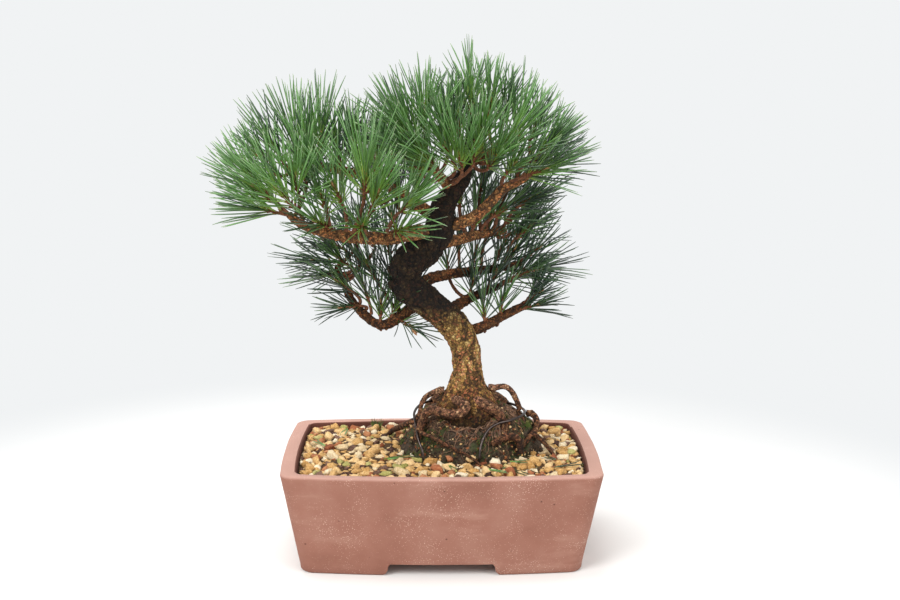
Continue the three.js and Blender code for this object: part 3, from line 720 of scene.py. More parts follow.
def grit(name, tones, rough=0.9):
    material, tree, where = new_material(name)
    shade = stored(tree, "shade")
    pores = noise_at(tree, where, 1.3, 6.0, 0.8)
    mottle = maths(tree, "MULTIPLY", pores, 1.3)
    lot = maths(tree, "MULTIPLY", shade, 0.35)
    tone = maths(tree, "ADD", lot, mottle)
    ramp = ramped(tree, tone, [(0.47 + 0.17 * n, code) for n, code in enumerate(tones)])
    bump = bumped(tree, pores, 0.9, 1.0)
    return dressed(material, ramp, bump, rough=rough, gloss=0.3)


grit_kinds = [
    (grit("ochre_pumice", ["8A6132", "BA8C50", "D3A96E", "E5C491"]), 0.56),
    (grit("cream_pumice", ["AA895C", "CDB185", "E0CBA4", "EEDFC2"]), 0.21),
    (grit("baked_clay_grit", ["5E3020", "8A4B30", "A2633F", "B78058"]), 0.10),
    (grit("dark_lava", ["251814", "432C24", "5C4034", "7C5F4F"]), 0.08),
    (grit("olive_grit", ["6B6630", "938C4C", "ADA461", "C0B77C"]), 0.05),
]
stones = [stone_shape(seed) for seed in range(14)]
bed_low, bed_high = (Vector(corner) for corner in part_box("gravel_layer"))
bed_half = (bed_high - bed_low) / 2
bed_top = seat.z - 2.5 * MM


def room_for(x, y, radius):
    """Whether a stone this big, at this place from the pot's middle, is clear of the wall."""
    a, b = bed_half.x - END_BOW, bed_half.y - LONG_BOW
    if abs(x) > a + END_BOW * (1 - (y / b) ** 2) - radius:
        return False
    return abs(y) < b + LONG_BOW * (1 - (x / a) ** 2) - radius


def ground_at(x, y):
    """Height of the grit or the root ball at a place from the pot's middle."""
    above = home + Vector((x, y, 0.2))
    hit = ball_tree.ray_cast(above, Vector((0, 0, -1)))
    return max(bed_top, hit[0].z) if hit[0] else bed_top


laid, cells = [], {}
CELL = 5 * MM
SIZES_AND_TRIES = ((9.0, 220), (7.2, 1000), (5.6, 4000), (4.3, 9000), (3.2, 7000))
LOWER_STONES = 900
for size_mm, tries in SIZES_AND_TRIES:
    for _ in range(tries):
        x, y = rng.uniform(-bed_half.x, bed_half.x), rng.uniform(-bed_half.y, bed_half.y)
        size = size_mm * rng.uniform(0.85, 1.12) * MM
        key = (int(x // CELL), int(y // CELL))
        near = [s for i in (-2, -1, 0, 1, 2) for j in (-2, -1, 0, 1, 2)
                for s in cells.get((key[0] + i, key[1] + j), ())]
        if not room_for(x, y, size * 0.45):
            continue
        if any((x - s[0]) ** 2 + (y - s[1]) ** 2 < (0.40 * (size + s[2])) ** 2 for s in near):
            continue
        ground = ground_at(x, y)
        on_ball = ground > bed_top + 5 * MM
        if on_ball and (size > 4 * MM or rng.random() < 0.985):
            continue
        cells.setdefault(key, []).append((x, y, size))
        laid.append((x, y, ground + size * rng.uniform(0.05, 0.34), size))

copies = []
for x, y, z, size in laid:
    pick, kind = rng.random(), 0
    while kind < len(grit_kinds) - 1 and pick > grit_kinds[kind][1]:
        pick -= grit_kinds[kind][1]
        kind += 1
    shape = dict(stones[rng.randrange(len(stones))])
    shape["slots"] = np.full(len(shape["sizes"]), kind)
    squash = Vector((rng.uniform(0.85, 1.35), rng.uniform(0.7, 1.05), rng.uniform(0.6, 1.0))) * size
    turn = Matrix.Rotation(any_turn(), 3, "Z") @ Matrix.Rotation(rng.uniform(-0.8, 0.8), 3, "X")
    matrix = Matrix.Translation(home + Vector((x, y, z))) @ (turn @ Matrix.Diagonal(squash)).to_4x4()
    copies.append((shape, matrix, rng.random()))
# A lower layer of small stones fills the gaps at the bed's top. Their shade numbers are held to the darker
# part of the range, as painted shade between the stones above.
for _ in range(LOWER_STONES):
    x, y = rng.uniform(-bed_half.x, bed_half.x), rng.uniform(-bed_half.y, bed_half.y)
    size = rng.uniform(3.2, 5) * MM
    if room_for(x, y, size * 0.4) and ground_at(x, y) < bed_top + MM:
        shape = dict(stones[rng.randrange(len(stones))])
        shape["slots"] = np.full(len(shape["sizes"]), rng.choice((0, 0, 0, 1, 2, 3)))
        turn = Matrix.Rotation(any_turn(), 4, "Z") @ Matrix.Diagonal((size,) * 3 + (1,))
        copies.append((shape, Matrix.Translation(home + Vector((x, y, bed_top))) @ turn, rng.random() * 0.6))
place("grit_stones", stamp("grit_stones", copies),
      [kind[0] for kind in grit_kinds], "gravel", smooth=False)
print("stones:", len(laid))

# %% [markdown]
# Under the loose stones lies fine grit and dust. The CAD slab stands for the whole layer, so a
# copy of it is left under the stones as their bed, in a dark crumbly finish whose darkness is
# painted shade in the gaps between the stones.

# %% Grit bed
shaded_grit_dust = damp_soil("shaded_grit_dust", "2A1C10", "5E4528", 2.2)
bed = cad_copy("gravel_layer")
bmesh.ops.triangulate(bed, faces=bed.faces)
bed_mesh = mesh_of(bed, "grit_bed")
place("grit_bed", bed_mesh, [shaded_grit_dust], "gravel", ["gravel_layer"], smooth=False)

# %% [markdown]
# Pine needles grow in pairs out of a short papery sheath. A needle is about a millimetre wide,
# stiff and slightly bowed. Here each is a ring of three points pushed out step by step to a fine
# tip. The pair is modelled in five bends, and all the needles of the tree are copies of these.

# %% One pair of needles
NEEDLE_LENGTH = 56 * MM
NEEDLE_WIDTH = 1.3 * MM
SHEATH_LENGTH = 5 * MM


def needle_pair(bow, spread):
    bm = bmesh.new()
    for side in (-1, 1):
        ring = bmesh.ops.create_circle(bm, segments=3, radius=0.5)["verts"]
        edges = list({edge for vertex in ring for edge in vertex.link_edges})
        for up in (0.0, 0.2, 0.42, 0.65, 0.85, 0.96, 1.0):
            if up:
                grown = bmesh.ops.extrude_edge_only(bm, edges=edges)["geom"]
                edges = [part for part in grown if isinstance(part, bmesh.types.BMEdge)]
                ring = verts_of(grown)
            tapered = 1 - 0.6 * max(up - 0.85, 0) / 0.15
            width = NEEDLE_WIDTH * (0.75 + 0.25 * min(up / 0.2, 1)) * tapered
            lean = (spread * up + bow * up * up) * side
            for number, vertex in enumerate(ring):
                corner = math.radians(120 * number)
                vertex.co = Vector((
                    0.5 * width * math.cos(corner) + lean * NEEDLE_LENGTH,
                    0.4 * width * math.sin(corner) + 0.6 * bow * up * up * NEEDLE_LENGTH,
                    up * NEEDLE_LENGTH,
                ))
    bmesh.ops.recalc_face_normals(bm, faces=bm.faces)
    green = len(bm.faces)
    sheath = bmesh.ops.create_cone(bm, segments=5, radius1=0.75 * MM, radius2=0.95 * MM,
                                   depth=SHEATH_LENGTH)["verts"]
    bmesh.ops.translate(bm, verts=sheath, vec=(0, 0, SHEATH_LENGTH / 2))
    bm.faces.ensure_lookup_table()
    for number, face in enumerate(bm.faces):
        face.material_index = 0 if number < green else 1
    shape = shape_of(bm)
    shape["along"] = np.clip(shape["points"][:, 2] / NEEDLE_LENGTH, 0, 1)
    return shape


pairs = [needle_pair(0.01, 0.03), needle_pair(-0.04, 0.08), needle_pair(0.06, 0.02),
         needle_pair(0.10, 0.05), needle_pair(-0.02, 0.14)]
print("faces in one pair:", len(pairs[0]["sizes"]))

# %% [markdown]
# A living needle is waxy, with a soft sheen. It is yellow-green where it leaves the sheath,
# full green along most of its length and paler at the very tip. The shade number of each pair
# mixes it towards a bluer, darker green. That is partly the real difference of old needles from
# new, which vary at random, and partly painted shade: pairs low in the tree, at its back or
# pointing down get higher numbers. The sheaths, scales and young stems are papery brown.

# %% Needle wax, sheath paper and bud scales
def needle_wax(name, young, old):
    material, tree, _ = new_material(name)
    along = stored(tree, "along")
    shade = stored(tree, "shade")
    places = (0.05, 0.25, 0.6, 0.92, 1.0)
    fresh = ramped(tree, along, list(zip(places, young)))
    aged_and_shaded = ramped(tree, along, list(zip(places, old)))
    # The shade number mixes in the older, darker palette; besides real age it carries painted shade by
    # place.
    mixed = colour_mix(tree, shade, fresh, aged_and_shaded)
    return dressed(material, mixed, rough=0.31, gloss=0.9)


def papery(name, dark, light, size_mm=1.5):
    material, tree, where = new_material(name)
    scales = noise_at(tree, where, size_mm, 4.0, 0.7)
    tone = ramped(tree, scales, [(0.35, dark), (0.68, light)])
    bump = bumped(tree, scales, 0.6, 0.5)
    return dressed(material, tone, bump, rough=0.75)


needle_green = needle_wax("needle_wax", ["A9C24C", "749F40", "55843C", "6E965A", "A0B088"],
                          ["305420", "14361C", "0B2616", "15361F", "3F5038"])
sheath_paper = papery("sheath_paper", "4E2C1A", "9A6238")
young_bark = papery("young_shoot_bark", "3B2114", "8A5330", 2.0)
bud_scale = papery("bud_scales", "7A4424", "D3A474", 1.2)

# %% [markdown]
# A shoot carries its pairs in a spiral, each a golden angle round from the last, as seeds sit
# in a cone. The lowest stand out sideways and the top ones point ahead, so a shoot looks like a
# shuttlecock. The list below sets every shoot of the tree one by one, as a grower would wire it:
# its place in millimetres from the seat of the tree, its direction, and its length as a share
# of a full needle. The names are those of the CAD pads that the shoots fill.

# %% Where the shoots are
SHOOTS = {
    "needles_left_tip": [
        (-106, -52, 197, -0.6, -0.4, 0.7, 1.2), (-122, -45, 201, -0.75, -0.2, 0.6, 1.05),
        (-131, -35, 209, -0.7, 0, 0.7, 0.85), (-104, -50, 205, -0.1, -0.5, 0.85, 0.95),
        (-115, -49, 193, -0.95, -0.3, 0.25, 1.0),
    ],
    "needles_left_top": [
        (-100, -36, 212, 0.05, -0.4, 0.9, 0.85), (-94, -2, 225, 0.1, 0.1, 1, 1.1),
        (-108, 3, 224, -0.15, 0.15, 1, 1.05), (-118, -8, 225, -0.55, 0, 0.85, 0.9),
        (-124, -20, 219, -0.6, -0.1, 0.8, 0.85), (-98, -20, 220, -0.1, -0.1, 1, 0.9),
    ],
    "needles_left_front": [
        (-57, -56, 205, 0.05, -0.45, 0.9, 1.2), (-53, -50, 195, 0.3, -0.5, 0.75, 1),
        (-72, -50, 199, -0.35, -0.4, 0.85, 1), (-84, -48, 193, -0.25, -0.35, 0.9, 0.85),
        (-33, -42, 193, 0.6, -0.45, 0.6, 0.9), (-84, -44, 183, -0.4, -0.7, 0.3, 0.8),
        (-60, -38, 181, 0.1, -0.9, 0.3, 0.75), (-36, -29, 178, 0.5, -0.7, 0.2, 0.7),
    ],
    "needles_left_back": [
        (-66, 5, 224, -0.1, 0.1, 1, 0.9), (-51, 12, 228, 0.05, 0.3, 1, 0.75),
        (-38, 2, 225, 0.05, 0, 1, 0.8), (-77, -5, 218, -0.1, 0, 1, 0.95),
        (-60, 14, 220, -0.1, 0.7, 0.7, 0.9), (-48, -8, 214, 0.1, -0.3, 0.9, 0.9),
        (-34, 18, 190, -0.1, 0.1, 1, 0.75), (-20, 14, 204, 0, 0.1, 1, 0.8),
        (-52, 16, 196, -0.2, 0.1, 0.9, 0.75),
    ],
    "needles_crown_left": [
        (-9, -18, 230, -0.6, -0.2, 0.75, 1.26), (-17, -15, 234, -0.5, -0.1, 0.85, 1.12),
        (-13, -10, 248, -0.05, 0, 1, 1.02), (-2, -25, 222, -0.6, -0.5, 0.55, 1.05),
        (-26, 0, 236, -0.4, 0.1, 0.9, 0.85), (-14, -16, 218, -0.5, -0.5, 0.6, 0.9),
    ],
    "needles_crown_top": [
        (4, 12, 249, -0.05, 0.3, 1, 0.8), (22, 5, 262, -0.05, 0, 1, 0.9),
        (35, 8, 255, 0.1, 0.05, 1, 0.85), (46, 12, 255, 0.25, 0.2, 1, 0.8),
        (24, 18, 246, 0.1, 0.7, 0.7, 0.9), (12, 2, 250, 0, -0.1, 1, 0.85),
    ],
    "needles_crown_front": [
        (14, -30, 222, -0.1, -0.6, 0.8, 1), (9, -26, 227, -0.4, -0.45, 0.8, 1),
        (22, -26, 227, 0.2, -0.5, 0.85, 0.95), (4, -15, 238, -0.2, -0.3, 0.95, 0.9),
        (28, -18, 238, 0.05, -0.45, 0.9, 0.9), (33, -24, 224, 0.35, -0.7, 0.6, 0.85),
    ],
    "needles_crown_right": [
        (39, -15, 232, 0.6, -0.3, 0.75, 1.05), (56, 8, 240, 0.15, 0.1, 1, 1),
        (60, -12, 217, 0.85, -0.35, 0.35, 1), (62, -5, 226, 0.75, -0.1, 0.6, 0.95),
        (75, 2, 233, 0.65, 0.05, 0.75, 0.75), (67, 12, 242, 0.4, 0.25, 0.9, 0.8),
        (47, -15, 219, 0.3, -0.7, 0.5, 0.75), (70, 0, 222, 0.9, 0.1, 0.4, 0.85),
    ],
    "needles_high_right": [
        (39, 18, 183, 0.8, 0, 0.55, 0.95), (50, 30, 176, 0.75, 0.2, 0.5, 0.85),
        (24, 19, 173, 0.3, 0.1, 0.8, 0.8), (52, 35, 166, 0.8, 0.3, 0.3, 0.75),
        (36, 30, 176, 0.2, 0.7, 0.7, 0.8),
        (14, 30, 188, 0.1, 0.1, 1, 0.75), (30, 30, 200, 0.2, 0.1, 0.9, 0.75),
        (50, 24, 200, 0.5, 0, 0.8, 0.75), (60, 20, 192, 0.8, 0, 0.4, 0.75),
    ],
    "needles_back_right": [
        (43, 36, 145, 0.4, 0.4, 0.75, 0.8), (65, 40, 146, 0.75, 0.1, 0.55, 0.8),
        (63, 38, 138, 0.95, 0, 0.1, 0.9), (24, 26, 142, 0.25, 0.15, 0.95, 0.7),
        (50, 34, 142, 0.5, -0.1, 0.85, 0.8),
        (34, 34, 160, 0.3, 0.2, 0.9, 0.7), (14, 34, 152, 0, 0.2, 1, 0.65),
        (58, 30, 164, 0.7, 0.1, 0.6, 0.75),
    ],
    "needles_middle_right": [
        (36, 25, 124, 0.4, -0.1, 0.8, 0.75), (50, 32, 128, 0.8, 0.1, 0.4, 0.75),
        (22, 17, 121, 0.2, -0.1, 0.9, 0.65),
        (6, 28, 134, -0.1, 0.1, 1, 0.65), (58, 30, 134, 0.8, 0, 0.3, 0.7),
    ],
    "needles_low_right": [
        (34, 8, 102, -0.1, -0.1, 0.95, 0.65), (46, 14, 105, 0.15, 0, 0.95, 0.65),
        (72, 25, 121, 0.45, 0, 0.85, 0.5), (61, 18, 110, 0.8, -0.1, 0.2, 0.65),
        (66, 21, 115, 0.7, 0.1, 0.5, 0.55),
    ],
    "needles_low_left": [
        (-48, 16, 101, 0.05, -0.3, 0.95, 0.85), (-40, 15, 102, 0.35, -0.2, 0.85, 0.75),
        (-69, 29, 121, -0.75, 0, 0.5, 0.75), (-64, 25, 111, -0.8, -0.1, -0.05, 0.65),
        (-34, 12, 103, 0.6, -0.2, -0.35, 0.65), (-57, 22, 115, -0.3, 0, 0.9, 0.7),
        (-38, 20, 126, -0.2, -0.1, 0.9, 0.75), (-24, 14, 118, -0.3, -0.5, 0.7, 0.7),
        (-50, 24, 130, -0.5, 0, 0.8, 0.75),
    ],
    "needles_low_left_tip": [
        (-82, 35, 145, -0.9, 0, 0.05, 0.9), (-76, 32, 155, -0.8, 0.1, 0.35, 0.8),
        (-64, 28, 147, -0.5, 0, 0.8, 0.75), (-77, 35, 136, -0.8, 0.2, -0.15, 0.8),
        (-70, 30, 140, -0.6, -0.3, 0.5, 0.8),
        (-52, 22, 158, -0.4, -0.1, 0.8, 0.8), (-64, 24, 168, -0.6, 0.1, 0.7, 0.75),
        (-40, 26, 150, -0.2, 0.1, 0.9, 0.75), (-34, 20, 170, -0.3, -0.3, 0.8, 0.7),
    ],
}
print("shoots:", sum(len(shoots) for shoots in SHOOTS.values()))

# %% Grow the needles
GOLDEN = math.radians(137.5)
LOW_PADS_TOP = seat.z + 172 * MM


def grow_shoot(at, direction, share, shade):
    """Pairs of needles in a spiral up a shoot, as copies to stamp."""
    grown = []
    stem = (0.12 + 0.2 * share) * NEEDLE_LENGTH
    across = direction.orthogonal().normalized()
    turn = any_turn()
    wide = rng.uniform(44, 62)
    reach = share * rng.uniform(0.86, 1.08)
    sparse = 0.7 if at.z < LOW_PADS_TOP else 1.0
    tone = rng.uniform(-0.22, 0.22)
    count = round((12 + 11 * share + rng.uniform(-3, 4)) * sparse)
    for number in range(count):
        up = (number + rng.random()) / count
        turn += GOLDEN
        out = math.radians(wide - (wide - 10) * up ** 0.75 + rng.uniform(-9, 9))
        aside = Matrix.Rotation(turn, 3, direction) @ across
        way = (direction * math.cos(out) + aside * math.sin(out)).normalized()
        way.z += 0.12
        if way.z < -0.1:
            way.z = -0.1 + 0.3 * (way.z + 0.1)
        start = at + direction * stem * up
        length = reach * rng.uniform(0.62, 1.03) * (1 - 0.1 * up)
        width = rng.uniform(0.72, 1.02)
        matrix = aimed(start, way.normalized(), any_turn(), (width, width, length))
        # Pairs pointing up get a lower number and pairs pointing down a higher one: painted light on top,
        # painted shade below.
        lit = shade + tone + rng.uniform(-0.6, 0.7) - 0.1 * way.z
        grown.append((pairs[rng.randrange(len(pairs))], matrix, min(max(lit, 0), 1)))
    return grown


shoot_places = []
for pad, shoots in SHOOTS.items():
    copies = []
    for x, y, z, dx, dy, dz, share in shoots:
        at = seat + Vector((x, y, z)) * MM
        direction = Vector((dx, dy, dz)).normalized()
        shoot_places.append((at, direction, share))
        # Painted shade: shoots further back and lower down get a higher shade number, which gives darker
        # needles.
        shade = 0.5 + 0.011 * y - 0.003 * (z - 190)
        copies += grow_shoot(at, direction, share, min(max(shade, 0.1), 0.95))
    place(pad.replace("needles", "tuft"), stamp(pad, copies), [needle_green, sheath_paper],
          "needles", [pad])

# %% [markdown]
# A few spent pairs have dropped on the grit. They lie nearly flat at any bearing.

# %% Fallen needles
fallen = []
FALLEN_PAIRS = 16
for _ in range(FALLEN_PAIRS):
    x, y = rng.uniform(-95, 95) * MM, rng.uniform(-55, 55) * MM
    spot = home + Vector((x, y, 0))
    spot.z = ground_at(x, y) + 4.5 * MM
    if spot.z > bed_top + 6 * MM:
        continue
    bearing = any_turn()
    flat = Vector((math.cos(bearing), math.sin(bearing), 0.02))
    size = rng.uniform(0.25, 0.5)
    fallen.append((pairs[rng.randrange(3)], aimed(spot, flat, 0, (0.9, 0.9, size)), rng.random()))
place("fallen_needles", stamp("fallen_needles", fallen), [needle_green, sheath_paper], "needles")

# %% [markdown]
# Twigs join the shoots to the branches. Each starts at the nearest place on the wood that lies
# below or behind its shoot and bends into the shoot's direction, thinning as it goes. They are
# curves with a round bevel while they are shaped, then meshes. Each shoot ends in a bud.

# %% Twigs
def tube(name, runs, sides=4):
    """A mesh of round tubes along runs of (point, radius), made from bevelled curves."""
    curve = bpy.data.curves.new(name, "CURVE")
    curve.dimensions = "3D"
    curve.bevel_depth = 1.0
    curve.bevel_resolution = sides // 2
    curve.use_fill_caps = True
    for run in runs:
        spline = curve.splines.new("POLY")
        spline.points.add(len(run) - 1)
        for point, (spot, radius) in zip(spline.points, run):
            point.co = (*spot, 1)
            point.radius = radius
    holder = linked(name, curve)
    graph = bpy.context.evaluated_depsgraph_get()
    mesh = bpy.data.meshes.new_from_object(holder.evaluated_get(graph))
    bpy.data.objects.remove(holder)
    return mesh


def bent(start, pull, end, steps):
    """Points on a smooth bend from start to end that is pulled towards a third point."""
    return [start * (1 - t) ** 2 + pull * 2 * t * (1 - t) + end * t * t
            for t in (step / steps for step in range(steps + 1))]


wood_points = [v.co.copy() for v in branch_wood.data.vertices if v.index % 6 == 0]
twig_runs = []
for at, direction, share in shoot_places:
    root = at - direction * 9 * MM
    start = min(wood_points, key=lambda p: (p - root).length + 0.6 * max(p.z - root.z, 0))
    pull = root.lerp(start, 0.25)
    tip = at + direction * (0.13 + 0.2 * share) * NEEDLE_LENGTH
    path = bent(start, pull, at, 7) + [at.lerp(tip, 0.5), tip]
    thick = [1.5, 1.5, 1.45, 1.4, 1.35, 1.3, 1.3, 1.3, 1.1, 0.8]
    knobs = [1 + 0.18 * noise.noise(spot / (3 * MM)) for spot in path]
    twig_runs.append([(spot, r * k * MM) for spot, r, k in zip(path, thick, knobs)])
place("twigs", tube("twigs", twig_runs, 6), [young_bark], "branch_bark")


# %% Buds
def bud_shape():
    bm = bmesh.new()
    bmesh.ops.create_uvsphere(bm, u_segments=6, v_segments=6, radius=1.0)
    for vertex in bm.verts:
        up = (vertex.co.z + 1) / 2
        swell = 1.25 - 0.55 * up
        vertex.co = Vector((vertex.co.x * 1.5 * swell, vertex.co.y * 1.5 * swell, up * 8)) * MM
    return shape_of(bm)


bud = bud_shape()
bud_copies = []
for at, direction, share in shoot_places:
    tip = at + direction * (0.11 + 0.2 * share) * NEEDLE_LENGTH
    for number in range(rng.choice((1, 1, 2, 3))):
        lean = Vector([rng.uniform(-0.35, 0.35) * min(number, 1) for _ in range(3)])
        size = rng.uniform(0.6, 0.95)
        bud_copies.append((bud, aimed(tip, (direction + lean).normalized(), any_turn(),
                                      (size, size, size)), rng.random()))
place("buds", stamp("buds", bud_copies), [bud_scale], "branch_bark")

# %% [markdown]
# Fine roots creep over the ball and dive back into it. Each is a walk downhill: a step outward
# and down with a random swerve, then back to the nearest point of the soil. Moss makes low
# cushions of tiny leaves in the damp hollows between them.

# %% Fine roots
ball_low, ball_high = (Vector(corner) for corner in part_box("root_ball"))
ball_top = Vector(((ball_low.x + ball_high.x) / 2, (ball_low.y + ball_high.y) / 2, ball_high.z))
ball_middle = (ball_low + ball_high) / 2
fine_runs = []
FINE_ROOTS = 330
for _ in range(FINE_ROOTS):
    angle = any_turn()
    start_out = rng.uniform(8, 34) * MM
    spot = ball_top + Vector((math.cos(angle), math.sin(angle) * 0.75, 0)) * start_out
    heading = Vector((math.cos(angle), math.sin(angle), 0))
    radius = rng.choice((0.25, 0.3, 0.35, 0.5, 0.8)) * MM
    run = []
    for step in range(rng.randrange(7, 15)):
        hit = ball_tree.find_nearest(spot)
        surface = hit[0] + hit[1] * rng.uniform(0.1, 1.1) * MM
        run.append((surface, radius * (1 - 0.05 * step)))
        swerve = Vector([rng.uniform(-1, 1) for _ in range(3)])
        heading = (heading + swerve * 0.75 + Vector((0, 0, -0.2))).normalized()
        spot = surface + heading * 3.6 * MM
        if spot.z < bed_top:
            break
    if len(run) > 3:
        fine_runs.append(run)
fine_root_bark = papery("fine_root_bark", "2A1A12", "8C664A", 2.2)
place("fine_roots", tube("fine_roots", fine_runs, 4), [fine_root_bark], "root_bark")


# %% Moss
def moss_sprig():
    bm = bmesh.new()
    for number in range(5):
        made = bmesh.ops.create_cone(bm, segments=3, radius1=0.28 * MM, radius2=0.02 * MM,
                                     depth=2.2 * MM)["verts"]
        bmesh.ops.translate(bm, verts=made, vec=(0, 0, 1.1 * MM))
        tilt = Matrix.Rotation(math.radians(38 if number else 0), 3, "X")
        swing = Matrix.Rotation(math.radians(90 * number), 3, "Z")
        bmesh.ops.rotate(bm, verts=made, matrix=swing @ tilt)
    return shape_of(bm)


sprig = moss_sprig()
moss_copies = []
MOSS_SPRIGS, SPROUTS = 2200, 7
while len(moss_copies) < MOSS_SPRIGS:
    angle = any_turn()
    spot = ball_top + Vector((math.cos(angle) * 60, math.sin(angle) * 44, 0)) * MM * rng.random() ** 0.5
    hit = ball_tree.ray_cast(spot + Vector((0, 0, 0.05)), Vector((0, 0, -1)))
    if not hit[0] or hit[0].z < bed_top:
        continue
    if noise.noise(hit[0] / (13 * MM)) + 0.5 * noise.noise(hit[0] / (5 * MM)) < 0.16:
        continue
    size = rng.uniform(0.6, 1.2)
    moss_copies.append((sprig, aimed(hit[0], hit[1], any_turn(), (size, size, size)),
                        rng.random()))
for _ in range(SPROUTS):
    spot = home + Vector((rng.gauss(-54, 4), rng.gauss(62, 2), 0)) * MM
    spot.z = bed_top + 3 * MM
    moss_copies.append((sprig, aimed(spot, Vector((rng.uniform(-0.4, 0.4), 0, 1)), any_turn(),
                                     (2, 2, rng.uniform(3, 4.5))), rng.random()))
moss_leaf = papery("moss_leaf", "2B3817", "6E7C34", 6.0)
place("moss", stamp("moss", moss_copies), [moss_leaf], "root_ball")

# %% [markdown]
# Up close old soil is a crust of crumbs: bits of rotted bark, spent grit and a few fresh grains.
# Small twenty-faced crumbs in three materials are pressed into the ball all over.

# %% Soil crumbs
def crumb_shape(seed):
    bm = bmesh.new()
    bmesh.ops.create_icosphere(bm, subdivisions=1, radius=0.5)
    for vertex in bm.verts:
        vertex.co *= 1 + noise.noise(vertex.co * 3 + Vector((seed * 2.7, 0, 0))) * 0.7
    return shape_of(bm)


crumb_kinds = [grit("bark_crumbs", ["120C08", "241911", "3A2A1D", "54402C"]),
               grit("rust_crumbs", ["2A1610", "4F2B1B", "7A4428", "9A6038"]), grit_kinds[0][0]]
crumbs = [crumb_shape(seed) for seed in range(6)]
crumb_copies = []
CRUMBS = 2600
while len(crumb_copies) < CRUMBS:
    around = Vector((math.cos(any_turn()), math.sin(any_turn()), rng.uniform(0, 1.2)))
    hit = ball_tree.ray_cast(ball_middle + around.normalized() * 0.2, -around)
    if not hit[0] or hit[0].z < bed_top - 2 * MM:
        continue
    shape = dict(rng.choice(crumbs))
    shape["slots"] = np.full(len(shape["sizes"]), rng.choice((0, 0, 0, 0, 0, 0, 1, 1, 2)))
    size = rng.choice((1.2, 1.8, 2.4, 3.2)) * MM
    matrix = aimed(hit[0], hit[1], any_turn(), (size, size * 0.8, size * 0.7))
    crumb_copies.append((shape, matrix, rng.random()))
place("soil_crumbs", stamp("soil_crumbs", crumb_copies), crumb_kinds, "root_ball", smooth=False)

# %% [markdown]
# Bonsai wire is soft aluminium, anodised dark brown. One run comes up through the floor, over
# the root ball and round behind the trunk, where its ends are twisted together. The route is
# the CAD model's, point for point, with a finer section.

# %% Tie wire
WIRE = 2 * MM
UNDER_FLOOR = FOOT_HEIGHT - 0.3 * MM - WIRE / 2
left, right = (home + spot for spot in tie_places)
over_left = [(20, 38, 31), (0, 32, 33), (-15, 18, 33), (-21, 0, 31), (-20, -13, 26), (-18, -24, 17)]
over_right = [(31, -30.5, 16), (36, -25, 24), (44, -21, 28), (54, -16, 29), (64, -4, 30),
              (66, 12, 30), (54, 29, 31), (34, 37, 31.5)]
wire_route = [seat + Vector(spot) * MM for spot in over_left]
wire_route += [Vector((left.x, left.y, z)) for z in (seat.z + 3 * MM, 40 * MM, UNDER_FLOOR + 1.5 * MM)]
wire_route += [Vector((left.x + 1.5 * MM, left.y, UNDER_FLOOR)),
               Vector((right.x - 1.5 * MM, right.y, UNDER_FLOOR))]
wire_route += [Vector((right.x, right.y, z)) for z in (UNDER_FLOOR + 1.5 * MM, 40 * MM, seat.z + 3 * MM)]
wire_route += [seat + Vector(spot) * MM for spot in over_right]


def smoothed(points, steps=5):
    """A Catmull-Rom curve through hand-set points."""
    line = []
    padded = [points[0] * 2 - points[1], *points, points[-1] * 2 - points[-2]]
    for a, b, c, d in zip(padded, padded[1:], padded[2:], padded[3:]):
        for step in range(steps):
            t = step / steps
            line.append(0.5 * ((2 * b) + (c - a) * t + (2 * a - 5 * b + 4 * c - d) * t * t
                               + (3 * b - a - 3 * c + d) * t ** 3))
    return line + [points[-1]]


def drawn_aluminium(name, dark, light, rough):
    material, tree, where = new_material(name)
    drawn = noise_at(tree, where, 3, 3.0)
    tone = ramped(tree, drawn, [(0.3, dark), (0.7, light)])
    return dressed(material, tone, metal=1.0, rough=rough)


brown_wire = drawn_aluminium("brown_anodised_wire", "3A3331", "5A504C", 0.28)
bare_wire = drawn_aluminium("bare_drawn_wire", "A9ABAE", "C9CBCE", 0.35)
tie = [(spot, WIRE / 2) for spot in smoothed(wire_route)]
twist_from = (wire_route[0] + wire_route[-1]) / 2
twist = []
for strand in (0, math.pi):
    turns = [(t / 24, strand + t * 0.9) for t in range(25)]
    twist.append([(twist_from + Vector((math.cos(a) * WIRE / 2, (7 + 10 * t) * MM * 0.6 - 4 * MM,
                                        math.sin(a) * WIRE / 2)) + Vector((0, 0, 1 * MM)),
                   WIRE / 2) for t, a in turns])
place("tie_wire_run", tube("tie_wire_run", [tie, *twist], 8), [brown_wire], "tie_wire",
      ["tie_wire"])

# %% [markdown]
# What lies under the soil keeps its CAD shape: the black plastic mesh over each water hole, the
# bare wire clip that holds it, and the soil itself. They only need a real finish.

# %% Finish the hidden pieces
def moulded_plastic(name, colour):
    material, tree, where = new_material(name)
    orange_peel = noise_at(tree, where, 0.8)
    bump = bumped(tree, orange_peel, 0.2, 0.1)
    return dressed(material, normal=bump, tint=linear(colour), rough=0.5)


def finish(node, material):
    data = bpy.data.objects[node].data
    data.materials.clear()
    data.materials.append(material)


black_mesh = moulded_plastic("moulded_polypropylene_mesh", "1B1D20")
soil_mix = damp_soil("soil_mix", "2A1C12", "6A4A2E", 3.5)
for side in ("left", "right"):
    finish(f"drain_mesh_{side}", black_mesh)
    finish(f"mesh_clip_{side}", bare_wire)
finish("soil_bed", soil_mix)

# %% [markdown]
# The table is a wide pale disc whose colour fades into the white of the room, so that no edge
# shows behind the tree from any side. Two broad soft lamps stand left and right of the
# camera, the left one stronger, and a third hangs above.

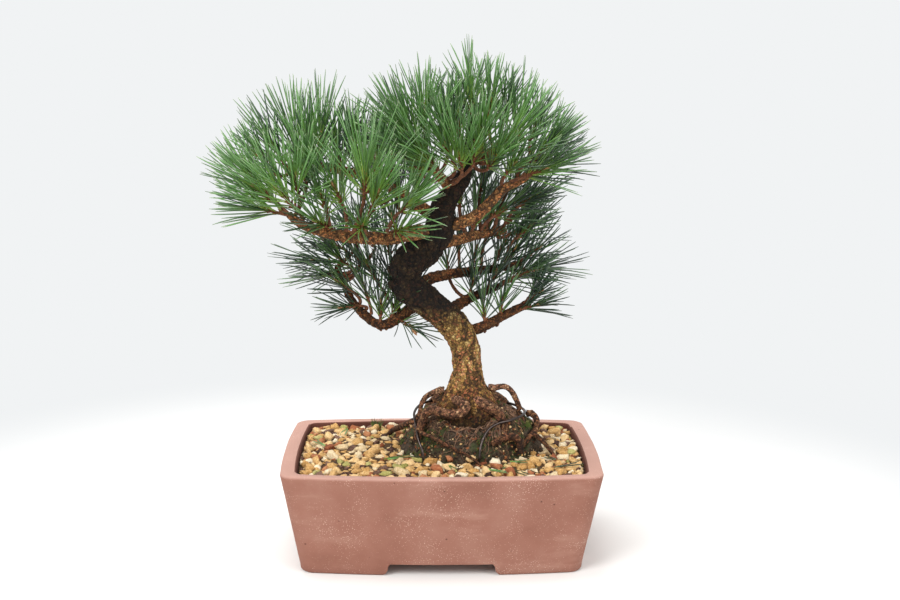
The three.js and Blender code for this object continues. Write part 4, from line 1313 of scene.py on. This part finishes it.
# %% Floor, room and lamps
ROOM = linear("F1F3F4")
FADE_FROM, FADE_TO = 0.2, 0.6
floor_bm = bmesh.new()
bmesh.ops.create_circle(floor_bm, segments=96, radius=6, cap_ends=True)
bmesh.ops.translate(floor_bm, verts=floor_bm.verts, vec=home)
floor = linked("floor", mesh_of(floor_bm, "floor"))
floor_paint, floor_tree, floor_where = new_material("matt_white_table")
dressed(floor_paint, tint=linear("E4E2DF"), rough=0.9, gloss=0.1)
away = add(floor_tree, "ShaderNodeVectorMath", {0: floor_where}, operation="LENGTH")
fade = add(floor_tree, "ShaderNodeMapRange", {
    "Value": away.outputs["Value"], "From Min": FADE_FROM, "From Max": FADE_TO},
    interpolation_type="SMOOTHSTEP")
haze = add(floor_tree, "ShaderNodeEmission", {"Color": ROOM, "Strength": 1.0})
paint = floor_tree.nodes["Principled BSDF"]
blend = add(floor_tree, "ShaderNodeMixShader", {
    0: fade.outputs["Result"], 1: paint.outputs["BSDF"], 2: haze.outputs["Emission"]})
floor_tree.links.new(blend.outputs["Shader"], floor_tree.nodes["Material Output"].inputs["Surface"])
floor.data.materials.append(floor_paint)

room = bpy.data.worlds.new("room")
room.use_nodes = True
room.node_tree.nodes["Background"].inputs["Color"].default_value = ROOM
room.node_tree.nodes["Background"].inputs["Strength"].default_value = 1.0
bpy.context.scene.world = room
bpy.context.scene.view_settings.view_transform = "Standard"


def soft_lamp(name, at, watts, size):
    light = bpy.data.lights.new(name, "AREA")
    light.energy = watts
    light.size = size
    lamp = linked(name, light)
    lamp.location = home + Vector(at)
    towards = home + Vector((0, 0, 0.18)) - lamp.location
    lamp.rotation_euler = towards.to_track_quat("-Z", "Y").to_euler()


soft_lamp("left_lamp", (-1.0, -1.2, 1.3), 27, 0.9)
soft_lamp("right_lamp", (1.2, -1.0, 1.0), 12, 0.9)
soft_lamp("top_lamp", (-0.2, 0.1, 1.5), 13, 0.7)

# %% [markdown]
# The camera looks slightly down at the front of the pot from about a metre, with a 52 mm lens.

# %% Camera
PITCH, YAW, ROLL = math.radians(-10.65), math.radians(1.26), math.radians(0.37)
sight = Vector((math.sin(YAW) * math.cos(PITCH), math.cos(YAW) * math.cos(PITCH), math.sin(PITCH)))
camera = linked("camera", bpy.data.cameras.new("camera"))
camera.data.lens = 52
camera.data.sensor_width = 36
camera.location = home + Vector((-15.3, -988.7, 383.8)) * MM
level = sight.to_track_quat("-Z", "Y")
camera.rotation_euler = (level.to_matrix() @ Matrix.Rotation(ROLL, 3, "Z")).to_euler()
bpy.context.scene.camera = camera

# %% Finish
bpy.context.view_layer.update()
